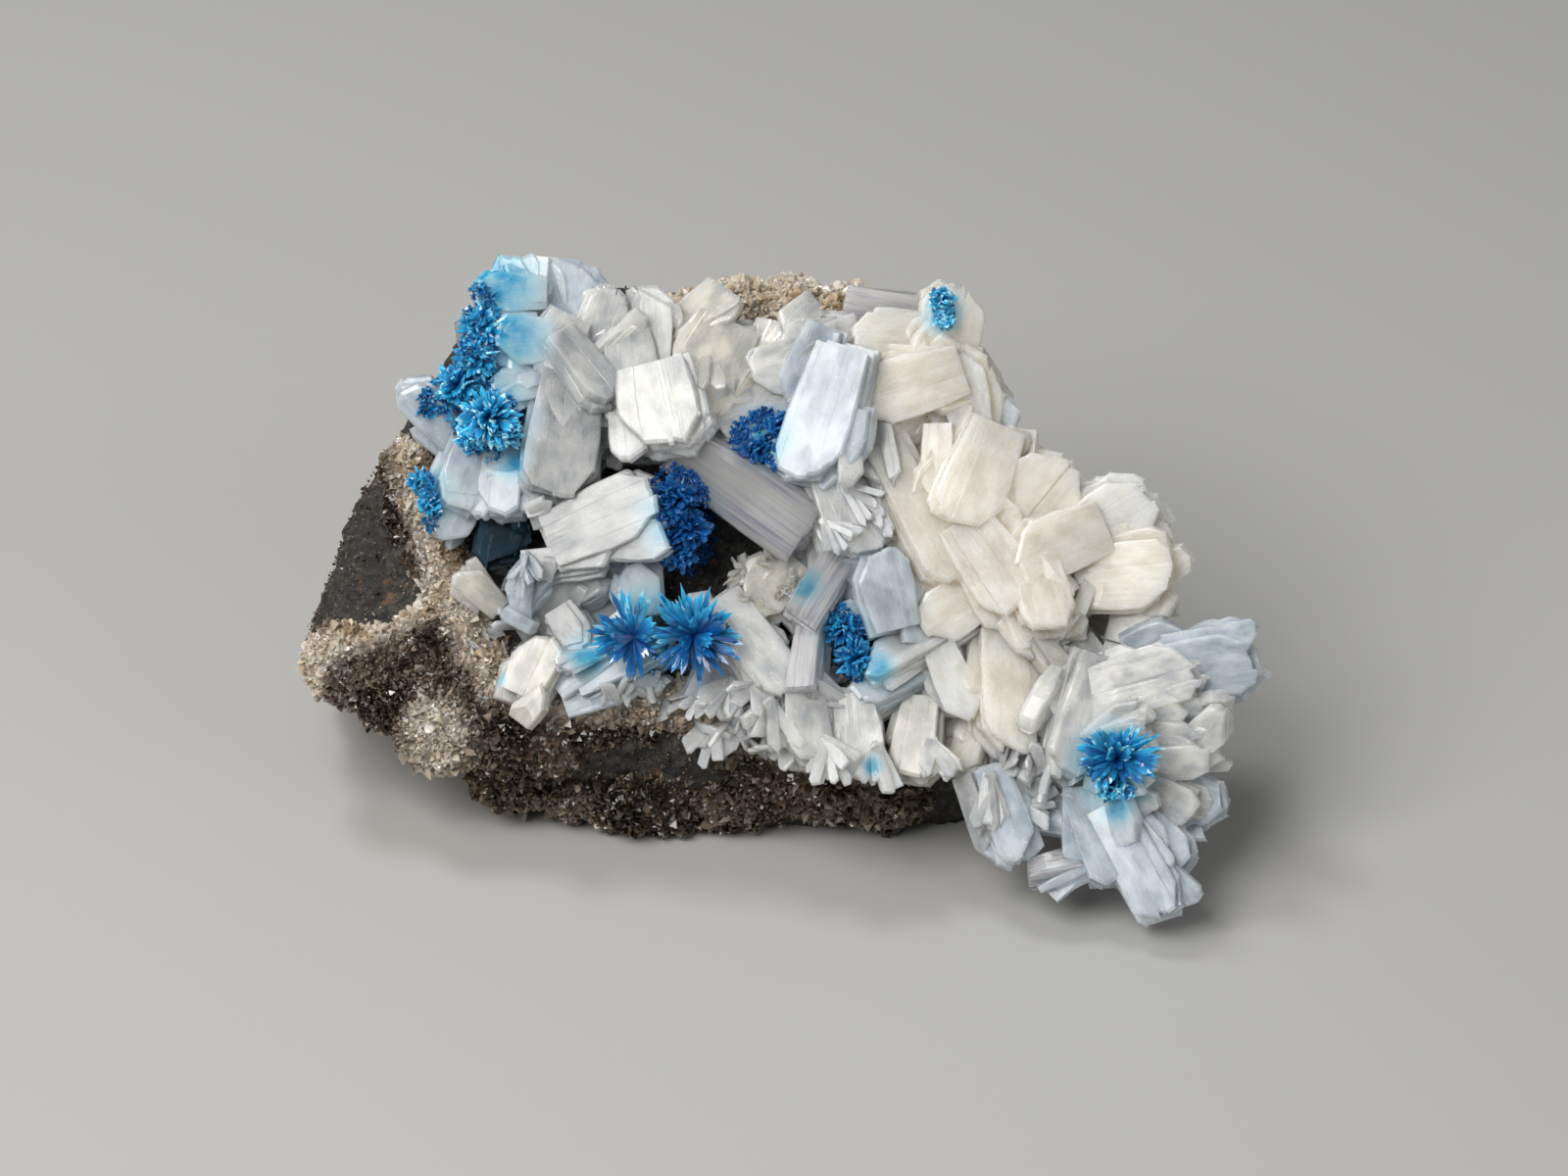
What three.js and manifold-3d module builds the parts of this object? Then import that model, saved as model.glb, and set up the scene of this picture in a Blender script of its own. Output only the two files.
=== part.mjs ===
// Cavansite rosettes on stilbite, on a basalt matrix: a small-cabinet mineral specimen.
// Millimetres, +Z up. The origin is on the flat face that it rests on, below the crystals.
import * as THREE from 'three';
import { mergeVertices } from 'three/addons/utils/BufferGeometryUtils.js';
import Module from 'manifold-3d';

const wasm = await Module();
wasm.setup();

// ---------------------------------------------------------------- driving dimensions

// The crystals grow on one broad face that leans back. Places on it are given as
// [across, up, out]: along X, up the face, and outwards from it.
const FACE_LEAN = THREE.MathUtils.degToRad(35);
const FACE_HEIGHT = 21.8;            // height of the middle of the face over the resting plane
const GAP = 0.35;                    // clearance between neighbouring solids

// The basalt is one lump, bounded by broken planes round its middle. Each plane is
// its outward direction and its distance from ROCK_MIDDLE.
const ROCK_MIDDLE = new THREE.Vector3(-6, 9.5, 14);
const ROCK_DETAIL = 5;               // subdivisions of the icosahedron that it starts from
const ROCK_CRISPNESS = 13;           // how sharply the planes meet
const ROCK_PLANES = [
  { towards: [0.0, -0.707, 0.707], distance: 7.9 },       // the face that carries the crystals
  { towards: [0.0, -0.985, -0.172], distance: 15.6 },     // front wall
  { towards: [-0.35, -0.9, -0.26], distance: 21.5 },      // lower left of the front wall
  { towards: [-0.66, -0.3, 0.69], distance: 27.2 },       // bare face at the left
  { towards: [-0.92, 0.24, 0.3], distance: 30.2 },        // left end
  { towards: [-0.46, -0.51, -0.73], distance: 21.8 },     // undercut below the left end
  { towards: [0.0, 0.0, -1.0], distance: 15.6 },          // just under the resting plane
  { towards: [0.0, 1.0, 0.05], distance: 15.2 },          // back
  { towards: [-0.5, 0.85, 0.1], distance: 23.0 },         // back left corner
  { towards: [0.08, 0.35, 0.93], distance: 26.4 },        // crest
  { towards: [0.93, 0.2, 0.3], distance: 27.0 },          // right end
  { towards: [0.75, 0.6, -0.25], distance: 26.0 },        // back right corner
  { towards: [0.62, -0.3, -0.72], distance: 28.0 },       // undercut below the right end
];
// Waves that make the broken faces uneven: height, radians a millimetre, and phase.
const ROCK_WAVES = [
  { height: 0.3, along: [0.55, 0.6, -0.5], phase: 1.1 },
  { height: 0.3, along: [0.55, -0.6, 0.5], phase: 2.7 },
  { height: 0.2, along: [0.9, 1.05, 1.15], phase: 0.4 },
  { height: 0.2, along: [-0.9, 1.05, -1.15], phase: 1.9 },
  { height: 0.2, along: [2.1, -1.7, 1.3], phase: 0.0 },
];
const KEEP_FLOOR = -5;               // how far down the rock goes where it only cuts its neighbours

const DRUSE_FLOOR = 0.6;             // the druse stops this far above the resting plane
const DRUSE_INNER = 0.76;            // reach of a lump's faces, as a share of its radius

// Lumps of the druse that coats the matrix: [across, up, radius, height over the rock].
const FRONT_DRUSE = [
  [-37.0, -7.0, 3.8, 0.9], [-33.4, -5.8, 3.6, 1.0], [-29.8, -4.4, 3.6, 1.0], [-26.4, -2.6, 3.2, 1.1],
  [-33.6, -9.4, 4.2, 0.7], [-29.6, -8.8, 4.6, 0.6], [-28.2, -12.4, 4.4, 1.6], [-25.2, -6.6, 3.8, 1.1],
  [-24.0, -11.0, 4.8, 1.0], [-22.8, -16.2, 5.0, 1.0], [-19.6, -11.6, 4.4, 1.0], [-17.6, -17.0, 4.8, 1.1],
  [-15.6, -10.0, 3.6, 1.0], [-12.6, -18.2, 4.2, 1.0], [-8.6, -18.6, 4.2, 1.0], [-4.8, -18.0, 4.4, 1.1],
  [-1.2, -15.8, 4.8, 1.2], [3.2, -16.8, 5.0, 1.2], [8.0, -17.0, 5.2, 1.3], [-11.2, -9.6, 3.4, 0.8],
  [-7.2, -9.8, 3.4, 0.8], [-3.4, -11.8, 3.8, 1.0], [-31.0, 9.8, 3.0, 1.0], [-30.0, 6.0, 3.2, 1.0],
  [-28.2, 2.4, 3.2, 1.1], [-27.2, -0.2, 3.4, 1.1], [-23.2, -13.6, 4.8, 1.0],
];
const CREST_DRUSE = [
  [-8.0, 21.8, 3.4, 1.1], [-3.8, 22.6, 3.8, 1.4], [0.6, 22.8, 3.8, 1.6], [5.0, 22.4, 3.6, 1.4],
];

// Stilbite blades: [across, up, out, length, width, thickness, turn, lean, roll, tip].
// The place is the middle of the broad front face. The turn is the direction of the tip on
// the display face, the lean raises the tip off it, and the roll is about the blade's length.
const LEAN_SPREAD = 6;               // degrees by which like blades differ from the tables
const ROLL_SPREAD = 7;
const SLANT_SPREAD = 0.18;           // skew of the tip, as a share of the width
const FRONT_TAPER = 0.9;             // size of the front face against the back
const ROOT_SHARE = 0.82;             // width of the root against the widest place
const SEED_STEP = 12;                // gives each place a seed of its own
const LEFT_BLADES = [
  [-17.0, 22.0, -2.2, 10.2, 8.6, 2.2, 88, -4, 4, 'blunt'],
  [-22.2, 25.0, -1.6, 5.6, 4.2, 2.6, 95, -4, -12, 'round'],
  [-22.2, 24.2, -0.2, 6.4, 3.8, 2.8, 178, 10, 8, 'round'],
  [-25.7, 20.4, -2.8, 5.0, 3.2, 1.8, 118, 4, -25, 'round'],
  [-21.2, 20.2, 1.4, 6.0, 4.8, 3.6, 182, 14, 4, 'round'],
  [-18.6, 19.6, 0.8, 6.6, 5.2, 4.0, -115, 12, 5, 'blunt'],
  [-15.9, 18.4, 2.2, 8.0, 4.0, 3.6, -52, 12, -38, 'blunt'],
  [-14.4, 21.0, -0.6, 7.4, 5.6, 3.6, 66, -10, 8, 'blunt'],
  [-22.0, 16.6, 1.2, 5.0, 3.4, 2.8, 188, 14, 8, 'round'],
  [-17.9, 12.6, 2.2, 11.8, 7.0, 5.4, -96, 10, -8, 'blunt'],
  [-28.5, 13.6, -1.4, 8.4, 3.6, 3.0, 134, 10, -20, 'blunt'],
  [-26.0, 9.2, 0.0, 6.8, 4.6, 3.4, -108, 14, -12, 'round'],
  [-23.2, 8.8, 0.8, 6.4, 4.2, 3.4, -96, 16, 8, 'blunt'],
  [-23.2, 4.2, -1.8, 5.4, 4.6, 2.6, -95, 8, 0, 'round'],
  [-26.8, 5.7, -1.4, 5.0, 3.8, 2.6, -120, 10, -14, 'blunt'],
  [-14.8, 5.8, 3.0, 10.8, 6.4, 4.8, 22, 8, -10, 'blunt'],
  [-24.9, -0.2, -0.8, 5.4, 2.8, 2.4, 137, 6, 0, 'round'],
  [-18.8, -0.4, -0.6, 6.4, 4.4, 3.0, 58, 12, -8, 'blunt'],
  [-17.4, -3.4, 0.2, 4.8, 3.6, 2.6, -58, 12, 8, 'blunt'],
  [-20.5, -6.1, 1.0, 6.2, 4.7, 3.8, 66, -6, -8, 'round'],
];
const CENTRE_BLADES = [
  [-10.8, 21.2, -0.6, 8.0, 3.9, 3.4, 92, -6, -8, 'round'],
  [-6.2, 18.2, 0.4, 9.8, 7.8, 4.6, -118, 14, 0, 'blunt'],
  [-12.4, 18.0, 1.2, 7.0, 5.4, 4.2, -80, 10, -12, 'blunt'],
  [-10.3, 14.9, 4.2, 8.0, 7.8, 4.2, -78, 18, 6, 'blunt'],
  [-3.0, 14.6, 1.2, 7.8, 5.0, 3.6, -160, 10, 10, 'blunt'],
  [0.8, 18.2, 0.8, 8.0, 5.2, 4.0, 196, 8, 6, 'blunt'],
  [2.9, 14.1, 3.8, 12.8, 6.4, 5.0, -106, 10, 12, 'round'],
  [-3.5, 7.6, 2.2, 14.2, 6.2, 4.8, -35, 5, 18, 'square'],
  [5.6, 6.2, 2.8, 8.0, 6.0, 5.0, -62, 12, -14, 'blunt'],
  [7.4, 11.0, 2.0, 6.0, 4.4, 4.2, -84, 10, 12, 'blunt'],
  [3.4, 1.0, 2.6, 9.4, 3.6, 4.0, -122, 10, 18, 'square'],
  [-11.8, 0.0, 1.2, 5.2, 4.2, 3.6, 98, 10, 0, 'round'],
  [-13.6, -5.4, 0.6, 9.2, 4.6, 4.4, 30, 0, -8, 'blunt'],
  [-1.0, 0.4, 0.8, 6.4, 5.0, 4.0, -128, 10, 4, 'blunt'],
  [10.6, -12.0, 2.0, 7.6, 4.2, 3.8, -98, 12, 8, 'blunt'],
  [-5.4, -7.4, 0.0, 5.8, 4.4, 3.4, 58, 6, 0, 'blunt'],
  [-2.1, -4.6, 2.6, 11.2, 4.7, 4.2, -54, 10, -14, 'blunt'],
  [1.6, -5.2, 3.2, 7.2, 2.7, 3.6, -98, 10, 12, 'square'],
  [8.5, 0.0, 3.8, 7.6, 5.3, 4.4, 102, 4, 8, 'round'],
  [10.2, -4.3, 2.6, 9.8, 3.6, 4.0, 206, 10, 26, 'blunt'],
  [8.9, -7.1, 1.8, 8.0, 3.6, 3.6, 204, 10, 20, 'blunt'],
  [13.2, -7.2, 1.6, 7.0, 4.3, 4.0, -78, 10, 6, 'blunt'],
  [2.0, -10.9, 3.6, 7.4, 4.3, 4.2, -82, 18, -10, 'round'],
  [6.0, -11.8, 2.8, 7.6, 4.5, 4.0, -84, 16, 8, 'round'],
];
const RIGHT_BLADES = [
  [9.2, 22.6, -2.8, 8.8, 4.2, 2.4, -12, 0, 0, 'square'],
  [9.2, 21.0, -0.4, 8.6, 4.2, 4.0, -178, 8, 14, 'blunt'],
  [14.0, 20.6, -0.8, 9.4, 5.7, 4.4, 84, -6, 10, 'round'],
  [10.6, 16.6, 1.6, 9.4, 5.8, 5.4, -164, 10, 6, 'blunt'],
  [14.8, 15.8, 0.6, 8.4, 4.6, 4.6, 102, -6, 6, 'blunt'],
  [17.2, 14.0, -0.8, 5.2, 3.6, 2.8, -8, 4, 10, 'blunt'],
  [11.2, 6.2, 2.4, 14.4, 4.8, 5.6, -62, 8, -34, 'blunt'],
  [16.0, 9.2, 2.6, 10.0, 6.6, 5.6, -112, 10, -6, 'blunt'],
  [20.4, 7.2, 1.6, 9.6, 6.8, 5.6, 52, -4, 6, 'blunt'],
  [22.4, 3.6, 2.8, 9.4, 6.2, 5.6, -158, 10, 0, 'blunt'],
  [26.4, 5.4, 1.0, 9.6, 6.4, 5.2, 34, 2, 4, 'blunt'],
  [28.4, 5.8, -1.0, 7.6, 5.0, 3.4, 22, -6, 0, 'round'],
  [27.6, 1.0, 2.0, 9.0, 6.4, 5.4, 4, 6, 0, 'blunt'],
  [17.0, 1.9, 3.2, 10.2, 6.6, 5.6, -52, 10, 0, 'blunt'],
  [21.0, -0.2, 3.8, 8.0, 5.2, 5.0, -74, 16, 0, 'round'],
  [14.0, -1.6, 2.4, 7.6, 5.2, 4.8, -150, 10, 6, 'blunt'],
  [18.2, -8.2, 3.2, 11.6, 4.9, 5.0, -84, 12, -14, 'round'],
  [21.0, -6.4, 1.6, 8.4, 3.6, 4.0, -66, 10, -30, 'blunt'],
];
const FRONT_BLADES = [
  [24.4, -10.4, 4.2, 11.6, 4.9, 4.2, -104, 10, -16, 'round'],
  [28.6, -7.6, 4.2, 11.0, 5.8, 4.4, 14, 8, -10, 'blunt'],
  [34.0, -6.5, 2.2, 10.6, 5.6, 3.4, 6, 6, 10, 'round'],
  [32.0, -11.4, 3.0, 10.2, 3.4, 3.2, 6, 10, 22, 'blunt'],
  [31.0, -14.3, 3.8, 10.6, 3.4, 3.2, 4, 10, 24, 'point'],
  [32.8, -16.8, 1.8, 7.2, 4.8, 2.8, -28, 8, 0, 'blunt'],
  [29.8, -17.0, 3.4, 8.6, 4.2, 3.4, -24, 14, 12, 'blunt'],
  [30.0, -20.6, 4.2, 7.8, 5.0, 3.2, -42, 10, 0, 'round'],
  [28.4, -22.2, 5.4, 11.8, 5.0, 2.8, -60, 8, 6, 'round'],
  [25.4, -20.0, 4.4, 9.2, 4.4, 3.4, -66, 8, -10, 'blunt'],
  [21.9, -22.1, 4.0, 5.0, 2.6, 2.4, 13, 0, -36, 'square'],
  [18.1, -18.2, 3.6, 9.2, 4.0, 3.4, -72, 10, -14, 'round'],
  [15.4, -18.4, 2.8, 7.4, 2.4, 2.8, -73, 8, 20, 'blunt'],
  [20.2, -16.0, 0.6, 8.4, 5.4, 3.0, -78, 8, 0, 'blunt'],
];
// Blades on the sides and behind, which close the cluster round the matrix.
const OUTER_BLADES = [
  [28.2, 3.2, -4.4, 8.6, 6.2, 4.0, 16, -22, 30, 'blunt'],
  [28.4, -2.0, -4.4, 9.0, 5.8, 4.0, -12, -20, 20, 'blunt'],
  [31.6, -7.8, -2.2, 9.0, 5.0, 3.4, 2, -16, 24, 'round'],
  [27.4, -18.6, 0.2, 8.0, 4.6, 3.2, -50, -8, 0, 'blunt'],
  [22.8, 5.6, -4.8, 8.8, 6.2, 4.4, 58, -24, 10, 'blunt'],
  [14.4, 10.2, -4.6, 7.4, 5.4, 4.0, 30, -24, 18, 'blunt'],
  [11.8, 17.4, -5.0, 7.0, 5.0, 3.4, 80, -24, 10, 'round'],
  [-16.4, 20.6, -5.0, 8.0, 5.4, 3.2, 94, -26, 0, 'blunt'],
  [-23.4, 15.8, -4.6, 7.0, 4.4, 3.0, 146, -16, -24, 'blunt'],
];
// Massive stilbite under the blades: the bed that they all grow from.
const BED_BLADES = [
  [-19.0, 14.6, -1.4, 18.0, 12.6, 6.5, 62, 0, 0, 'blunt'],
  [-16.4, -1.2, -1.8, 13.0, 8.0, 4.6, -168, 0, 0, 'blunt'],
  [-8.0, 16.2, -1.0, 18.0, 11.0, 6.5, 8, 0, 0, 'blunt'],
  [4.6, 14.6, -0.6, 17.0, 12.0, 6.5, 86, 0, 0, 'blunt'],
  [3.6, 2.4, -0.6, 15.0, 9.0, 6.0, -60, 0, 0, 'blunt'],
  [13.6, 13.0, -0.6, 16.0, 9.5, 7.0, 82, 0, 0, 'blunt'],
  [20.0, 2.6, -0.4, 18.0, 13.0, 9.0, 4, 0, 0, 'blunt'],
  [16.6, -7.4, -0.6, 15.0, 10.5, 7.0, -84, 0, 0, 'blunt'],
  [25.8, -12.0, 0.8, 17.0, 10.5, 6.0, -58, 0, 0, 'blunt'],
];

// Sprays of cavansite by node: [across, up, out, radius].
const LARGE_CORE = 0.6;              // core of a twenty-spiked spray, as a share of its radius
const SMALL_CORE = 0.82;             // and of an eight-spiked one
const SPRAY_LIMIT = 2.35;            // radius from which a spray has twenty spikes
const SPIKE_SPREAD = 0.14;           // share by which the spikes of a spray differ
const CAVANSITE = {
  cavansite_band_left: [[-24.7, 21.2, 0.6, 2.3], [-25.0, 18.8, 0.7, 2.3], [-26.6, 16.6, 0.5, 2.3]],
  cavansite_rosette_left: [[-24.0, 13.8, 2.4, 2.4], [-25.4, 12.4, 1.8, 1.6], [-22.6, 12.5, 2.2, 1.7]],
  cavansite_rim_left: [[-29.6, 8.7, -1.2, 1.5], [-28.9, 6.9, -0.8, 1.4]],
  cavansite_pocket_center: [[-8.6, 7.2, 2.2, 2.3], [-7.8, 4.8, 2.0, 2.3], [-8.7, 2.9, 1.4, 2.0]],
  cavansite_pocket_top: [[-1.9, 11.4, 1.5, 2.0], [-0.5, 13.2, 1.9, 1.5]],
  cavansite_rosettes_front: [[-7.3, -3.8, 2.4, 4.2], [-12.2, -3.9, 2.2, 3.2]],
  cavansite_pocket_right: [[4.9, -3.2, 2.2, 2.1], [5.9, -5.8, 2.9, 2.1]],
  cavansite_tuft_right: [[26.9, -13.7, 6.2, 2.8], [26.4, -16.0, 5.6, 1.7]],
  cavansite_patch_top: [[12.9, 23.4, 0.2, 1.4], [13.1, 22.0, 0.4, 1.1]],
};

// ---------------------------------------------------------------- materials

const basalt = new THREE.MeshStandardMaterial({ color: 0x35322e, roughness: 0.9, metalness: 0 });
const druse = new THREE.MeshStandardMaterial({ color: 0x9c8b72, roughness: 0.6, metalness: 0 });
const stilbite = new THREE.MeshStandardMaterial({ color: 0xd9d9cf, roughness: 0.35, metalness: 0 });
const cavansite = new THREE.MeshStandardMaterial({ color: 0x0f6fb8, roughness: 0.4, metalness: 0 });

// ---------------------------------------------------------------- solids

// A geometry as a solid that can be joined and cut.
function solidOf(geometry) {
  const shape = geometry.clone();
  shape.deleteAttribute('normal');
  shape.deleteAttribute('uv');
  const merged = mergeVertices(shape, 1e-4);
  return new wasm.Manifold(new wasm.Mesh({
    numProp: 3,
    vertProperties: new Float32Array(merged.attributes.position.array),
    triVerts: new Uint32Array(merged.index.array),
  }));
}

// The largest single body of a solid, without its inner hollows.
function largestBody(solid) {
  return solid.decompose().sort((one, other) => other.volume() - one.volume())[0];
}

const SIMPLIFY = 0.02;               // detail smaller than this is dropped

// A named mesh of the largest body of a solid.
function meshOf(name, solid, material) {
  const { vertProperties, triVerts } = largestBody(solid.simplify(SIMPLIFY)).getMesh();
  const geometry = new THREE.BufferGeometry();
  geometry.setAttribute('position', new THREE.BufferAttribute(new Float32Array(vertProperties), 3));
  geometry.setIndex(new THREE.BufferAttribute(new Uint32Array(triVerts), 1));
  const mesh = new THREE.Mesh(geometry, material);
  mesh.name = name;
  return mesh;
}

// ---------------------------------------------------------------- places on the display face

const ACROSS = new THREE.Vector3(1, 0, 0);
const UP = new THREE.Vector3(0, Math.sin(FACE_LEAN), Math.cos(FACE_LEAN));
const OUT = new THREE.Vector3(0, -Math.cos(FACE_LEAN), Math.sin(FACE_LEAN));
const FACE = new THREE.Matrix4().makeBasis(ACROSS, UP, OUT).setPosition(0, 0, FACE_HEIGHT);

// A point of the display face, in the part's own frame.
function onFace(across, up, out) {
  return new THREE.Vector3(across, up, out).applyMatrix4(FACE);
}

// A steady number from -1 to 1 for each seed, which varies like pieces.
function vary(seed) {
  const wave = Math.sin(seed * 12.9898) * 43758.5453;
  return 2 * (wave - Math.floor(wave)) - 1;
}

// ---------------------------------------------------------------- basalt and druse

// Distance from ROCK_MIDDLE to the rock's surface in a direction: the planes' smooth inside,
// with low waves on it.
function rockReach(direction) {
  let sum = 0;
  for (const { towards, distance } of ROCK_PLANES) {
    const facing = direction.dot(new THREE.Vector3(...towards).normalize());
    if (facing > 0) sum += (facing / distance) ** ROCK_CRISPNESS;
  }
  const reach = sum ** (-1 / ROCK_CRISPNESS);
  const at = direction.clone().multiplyScalar(reach);
  return ROCK_WAVES.reduce((total, { height, along, phase }) => (
    total + height * Math.sin(at.dot(new THREE.Vector3(...along)) + phase)
  ), reach);
}

// How far a point stands out of the rock, along the ray from its middle.
function rockHeight(point) {
  const ray = point.clone().sub(ROCK_MIDDLE);
  return ray.length() - rockReach(ray.clone().normalize());
}

const SEARCH_FROM = 12;              // the search for the rock runs inwards, in steps
const SEARCH_TO = -30;
const SEARCH_STEP = 0.1;

// The foremost point of the rock behind a place of the display face.
function rockSurface(across, up) {
  for (let out = SEARCH_FROM; out > SEARCH_TO; out -= SEARCH_STEP) {
    const point = onFace(across, up, out);
    if (rockHeight(point) < 0) return point;
  }
  throw new Error(`no rock behind ${across}, ${up}`);
}

const NORMAL_STEP = 0.8;             // half the width over which its direction is taken

// The rock's outward direction at a point of its surface.
function rockNormal(point) {
  const slope = (axis) => rockHeight(point.clone().addScaledVector(axis, NORMAL_STEP))
    - rockHeight(point.clone().addScaledVector(axis, -NORMAL_STEP));
  const axes = [new THREE.Vector3(1, 0, 0), new THREE.Vector3(0, 1, 0), new THREE.Vector3(0, 0, 1)];
  return new THREE.Vector3(...axes.map(slope)).normalize();
}

// The rock grown by a clearance, cut flat at a height.
function rockSolid(grow, floor) {
  const ball = new THREE.IcosahedronGeometry(1, ROCK_DETAIL);
  const position = ball.attributes.position;
  for (let i = 0; i < position.count; i += 1) {
    const direction = new THREE.Vector3().fromBufferAttribute(position, i).normalize();
    const point = direction.clone().multiplyScalar(rockReach(direction) + grow).add(ROCK_MIDDLE);
    position.setXYZ(i, point.x, point.y, point.z);
  }
  return solidOf(ball).subtract(halfSpaceBelow(floor));
}

const BLOCK_WIDTH = 200;             // a block wider than the whole specimen
const BLOCK_DEPTH = 40;

// Everything below a height.
function halfSpaceBelow(height) {
  const block = new THREE.BoxGeometry(BLOCK_WIDTH, BLOCK_WIDTH, BLOCK_DEPTH);
  block.translate(0, 0, height - BLOCK_DEPTH / 2);
  return solidOf(block);
}

const LUMP_TURN_X = 1.7;             // radians that each lump is turned from the last
const LUMP_TURN_Z = 2.3;

// One faceted lump of druse, sunk in the rock so that only its height stands out.
function druseLump([across, up, radius, height], seed, grow) {
  const lump = new THREE.IcosahedronGeometry(radius + grow, 0);
  lump.rotateX(seed * LUMP_TURN_X);
  lump.rotateZ(seed * LUMP_TURN_Z);
  const foot = rockSurface(across, up);
  const middle = foot.clone().addScaledVector(rockNormal(foot), height - DRUSE_INNER * radius);
  lump.translate(middle.x, middle.y, middle.z);
  return solidOf(lump);
}

// A coat of lumps, grown by a clearance and not yet cut to the rock.
function druseSolid(lumps, grow) {
  return wasm.Manifold.union(lumps.map((lump, i) => druseLump(lump, i + 1, grow)));
}

// ---------------------------------------------------------------- stilbite

// Outline of a blade from its root to its tip, as [share of half width, widths below the tip].
const TIPS = {
  blunt: [[1, 0.3], [0.5, 0]],
  round: [[1, 0.38], [0.55, 0.03]],
  point: [[1, 0.7], [0.15, 0]],
  square: [[1, 0.05], [0.92, 0]],
};

// One blade with a flat front face a little smaller than its back.
function bladeSolid([across, up, out, length, width, thickness, turn, lean, roll, tip], grow) {
  const seed = across + SEED_STEP * up;
  const half = width / 2 + grow;
  const end = length / 2 + grow;
  const slant = SLANT_SPREAD * vary(seed) * width;
  const right = TIPS[tip].map(([share, below]) => [share * half, end - below * width]);
  const left = right.slice().reverse().map(([x, y]) => [-x, y + slant * (x / half)]);
  const outline = new THREE.Shape();
  [[ROOT_SHARE * half, -end], ...right, ...left, [-ROOT_SHARE * half, -end]]
    .forEach(([x, y], i) => (i ? outline.lineTo(x, y) : outline.moveTo(x, y)));
  const blade = new THREE.ExtrudeGeometry(outline, {
    depth: thickness + 2 * grow, bevelEnabled: false,
  });
  blade.translate(0, 0, -thickness - grow);
  const position = blade.attributes.position;
  for (let i = 0; i < position.count; i += 1) {
    const taper = position.getZ(i) > -0.5 * thickness ? FRONT_TAPER : 1;
    position.setXYZ(i, taper * position.getX(i), taper * position.getY(i), position.getZ(i));
  }
  const degrees = THREE.MathUtils.degToRad;
  const place = FACE.clone()
    .multiply(new THREE.Matrix4().makeTranslation(across, up, out))
    .multiply(new THREE.Matrix4().makeRotationZ(degrees(turn - 90)))
    .multiply(new THREE.Matrix4().makeRotationX(degrees(lean + LEAN_SPREAD * vary(seed + 1))))
    .multiply(new THREE.Matrix4().makeRotationY(degrees(roll + ROLL_SPREAD * vary(seed + 2))));
  blade.applyMatrix4(place);
  return solidOf(blade);
}

// All the blades, grown together.
function stilbiteSolid(grow) {
  const tables = [LEFT_BLADES, CENTRE_BLADES, RIGHT_BLADES, FRONT_BLADES, OUTER_BLADES, BED_BLADES];
  return wasm.Manifold.union(tables.flat().map((row) => bladeSolid(row, grow)));
}

// ---------------------------------------------------------------- cavansite

// A spray of pointed crystals: a spike on each face of a small faceted core.
function spraySolid([across, up, out, radius], seed) {
  const core = radius > SPRAY_LIMIT
    ? new THREE.IcosahedronGeometry(LARGE_CORE * radius, 0)
    : new THREE.OctahedronGeometry(SMALL_CORE * radius, 0);
  core.rotateX(seed);
  core.rotateZ(2 * seed);
  const corners = core.attributes.position;
  const points = [];
  for (let face = 0; face < corners.count; face += 3) {
    const [a, b, c] = [0, 1, 2].map((k) => new THREE.Vector3().fromBufferAttribute(corners, face + k));
    const reach = radius * (1 + SPIKE_SPREAD * vary(corners.count * seed + face));
    const tip = a.clone().add(b).add(c).normalize().multiplyScalar(reach);
    [a, b, tip, b, c, tip, c, a, tip].forEach((point) => points.push(...point.toArray()));
  }
  const spray = new THREE.BufferGeometry();
  spray.setAttribute('position', new THREE.Float32BufferAttribute(points, 3));
  const middle = onFace(across, up, out);
  spray.translate(middle.x, middle.y, middle.z);
  return solidOf(spray);
}

// ---------------------------------------------------------------- the specimen

const specimen = new THREE.Group();
specimen.add(meshOf('basalt_matrix', rockSolid(0, 0), basalt));

// The druse follows the rock and stops short of the resting plane.
const rockKeep = rockSolid(GAP, KEEP_FLOOR);
const druseKeep = rockKeep.add(halfSpaceBelow(DRUSE_FLOOR));
specimen.add(meshOf('druse_front', druseSolid(FRONT_DRUSE, 0).subtract(druseKeep), druse));
specimen.add(meshOf('druse_crest', druseSolid(CREST_DRUSE, 0).subtract(druseKeep), druse));

// The stilbite is cut to the rock and the druse, and the cavansite to all three.
const stoneKeep = rockKeep.add(druseSolid(FRONT_DRUSE, GAP)).add(druseSolid(CREST_DRUSE, GAP));
specimen.add(meshOf('stilbite_cluster', stilbiteSolid(0).subtract(stoneKeep), stilbite));

const keep = stilbiteSolid(GAP).add(stoneKeep);
Object.entries(CAVANSITE).forEach(([name, sprays], i) => {
  const solid = wasm.Manifold.union(sprays.map((spray, k) => spraySolid(spray, 10 * i + k + 1)));
  specimen.add(meshOf(name, solid.subtract(keep), cavansite));
});

export default specimen;
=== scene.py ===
"""A cavansite specimen: blue rosettes on stilbite blades and a druse, on basalt."""
import math
from collections import namedtuple

import bmesh
import bpy
import numpy as np
from mathutils import Matrix, Vector
from mathutils import noise as terrain
from mathutils.bvhtree import BVHTree


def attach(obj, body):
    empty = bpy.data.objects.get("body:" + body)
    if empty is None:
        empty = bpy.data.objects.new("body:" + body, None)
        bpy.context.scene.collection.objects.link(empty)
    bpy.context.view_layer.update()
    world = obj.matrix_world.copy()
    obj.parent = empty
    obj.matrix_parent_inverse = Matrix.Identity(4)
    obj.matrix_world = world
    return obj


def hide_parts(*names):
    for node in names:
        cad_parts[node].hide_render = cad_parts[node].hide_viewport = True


bl_info = {
    "name": "Cavansite Specimen",
    "version": (1, 0, 0),
    "blender": (4, 5, 0),
    "location": "3D View > Sidebar > Specimen",
    "description": "Builds a cavansite and stilbite specimen on basalt",
    "category": "Mesh",
}

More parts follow.
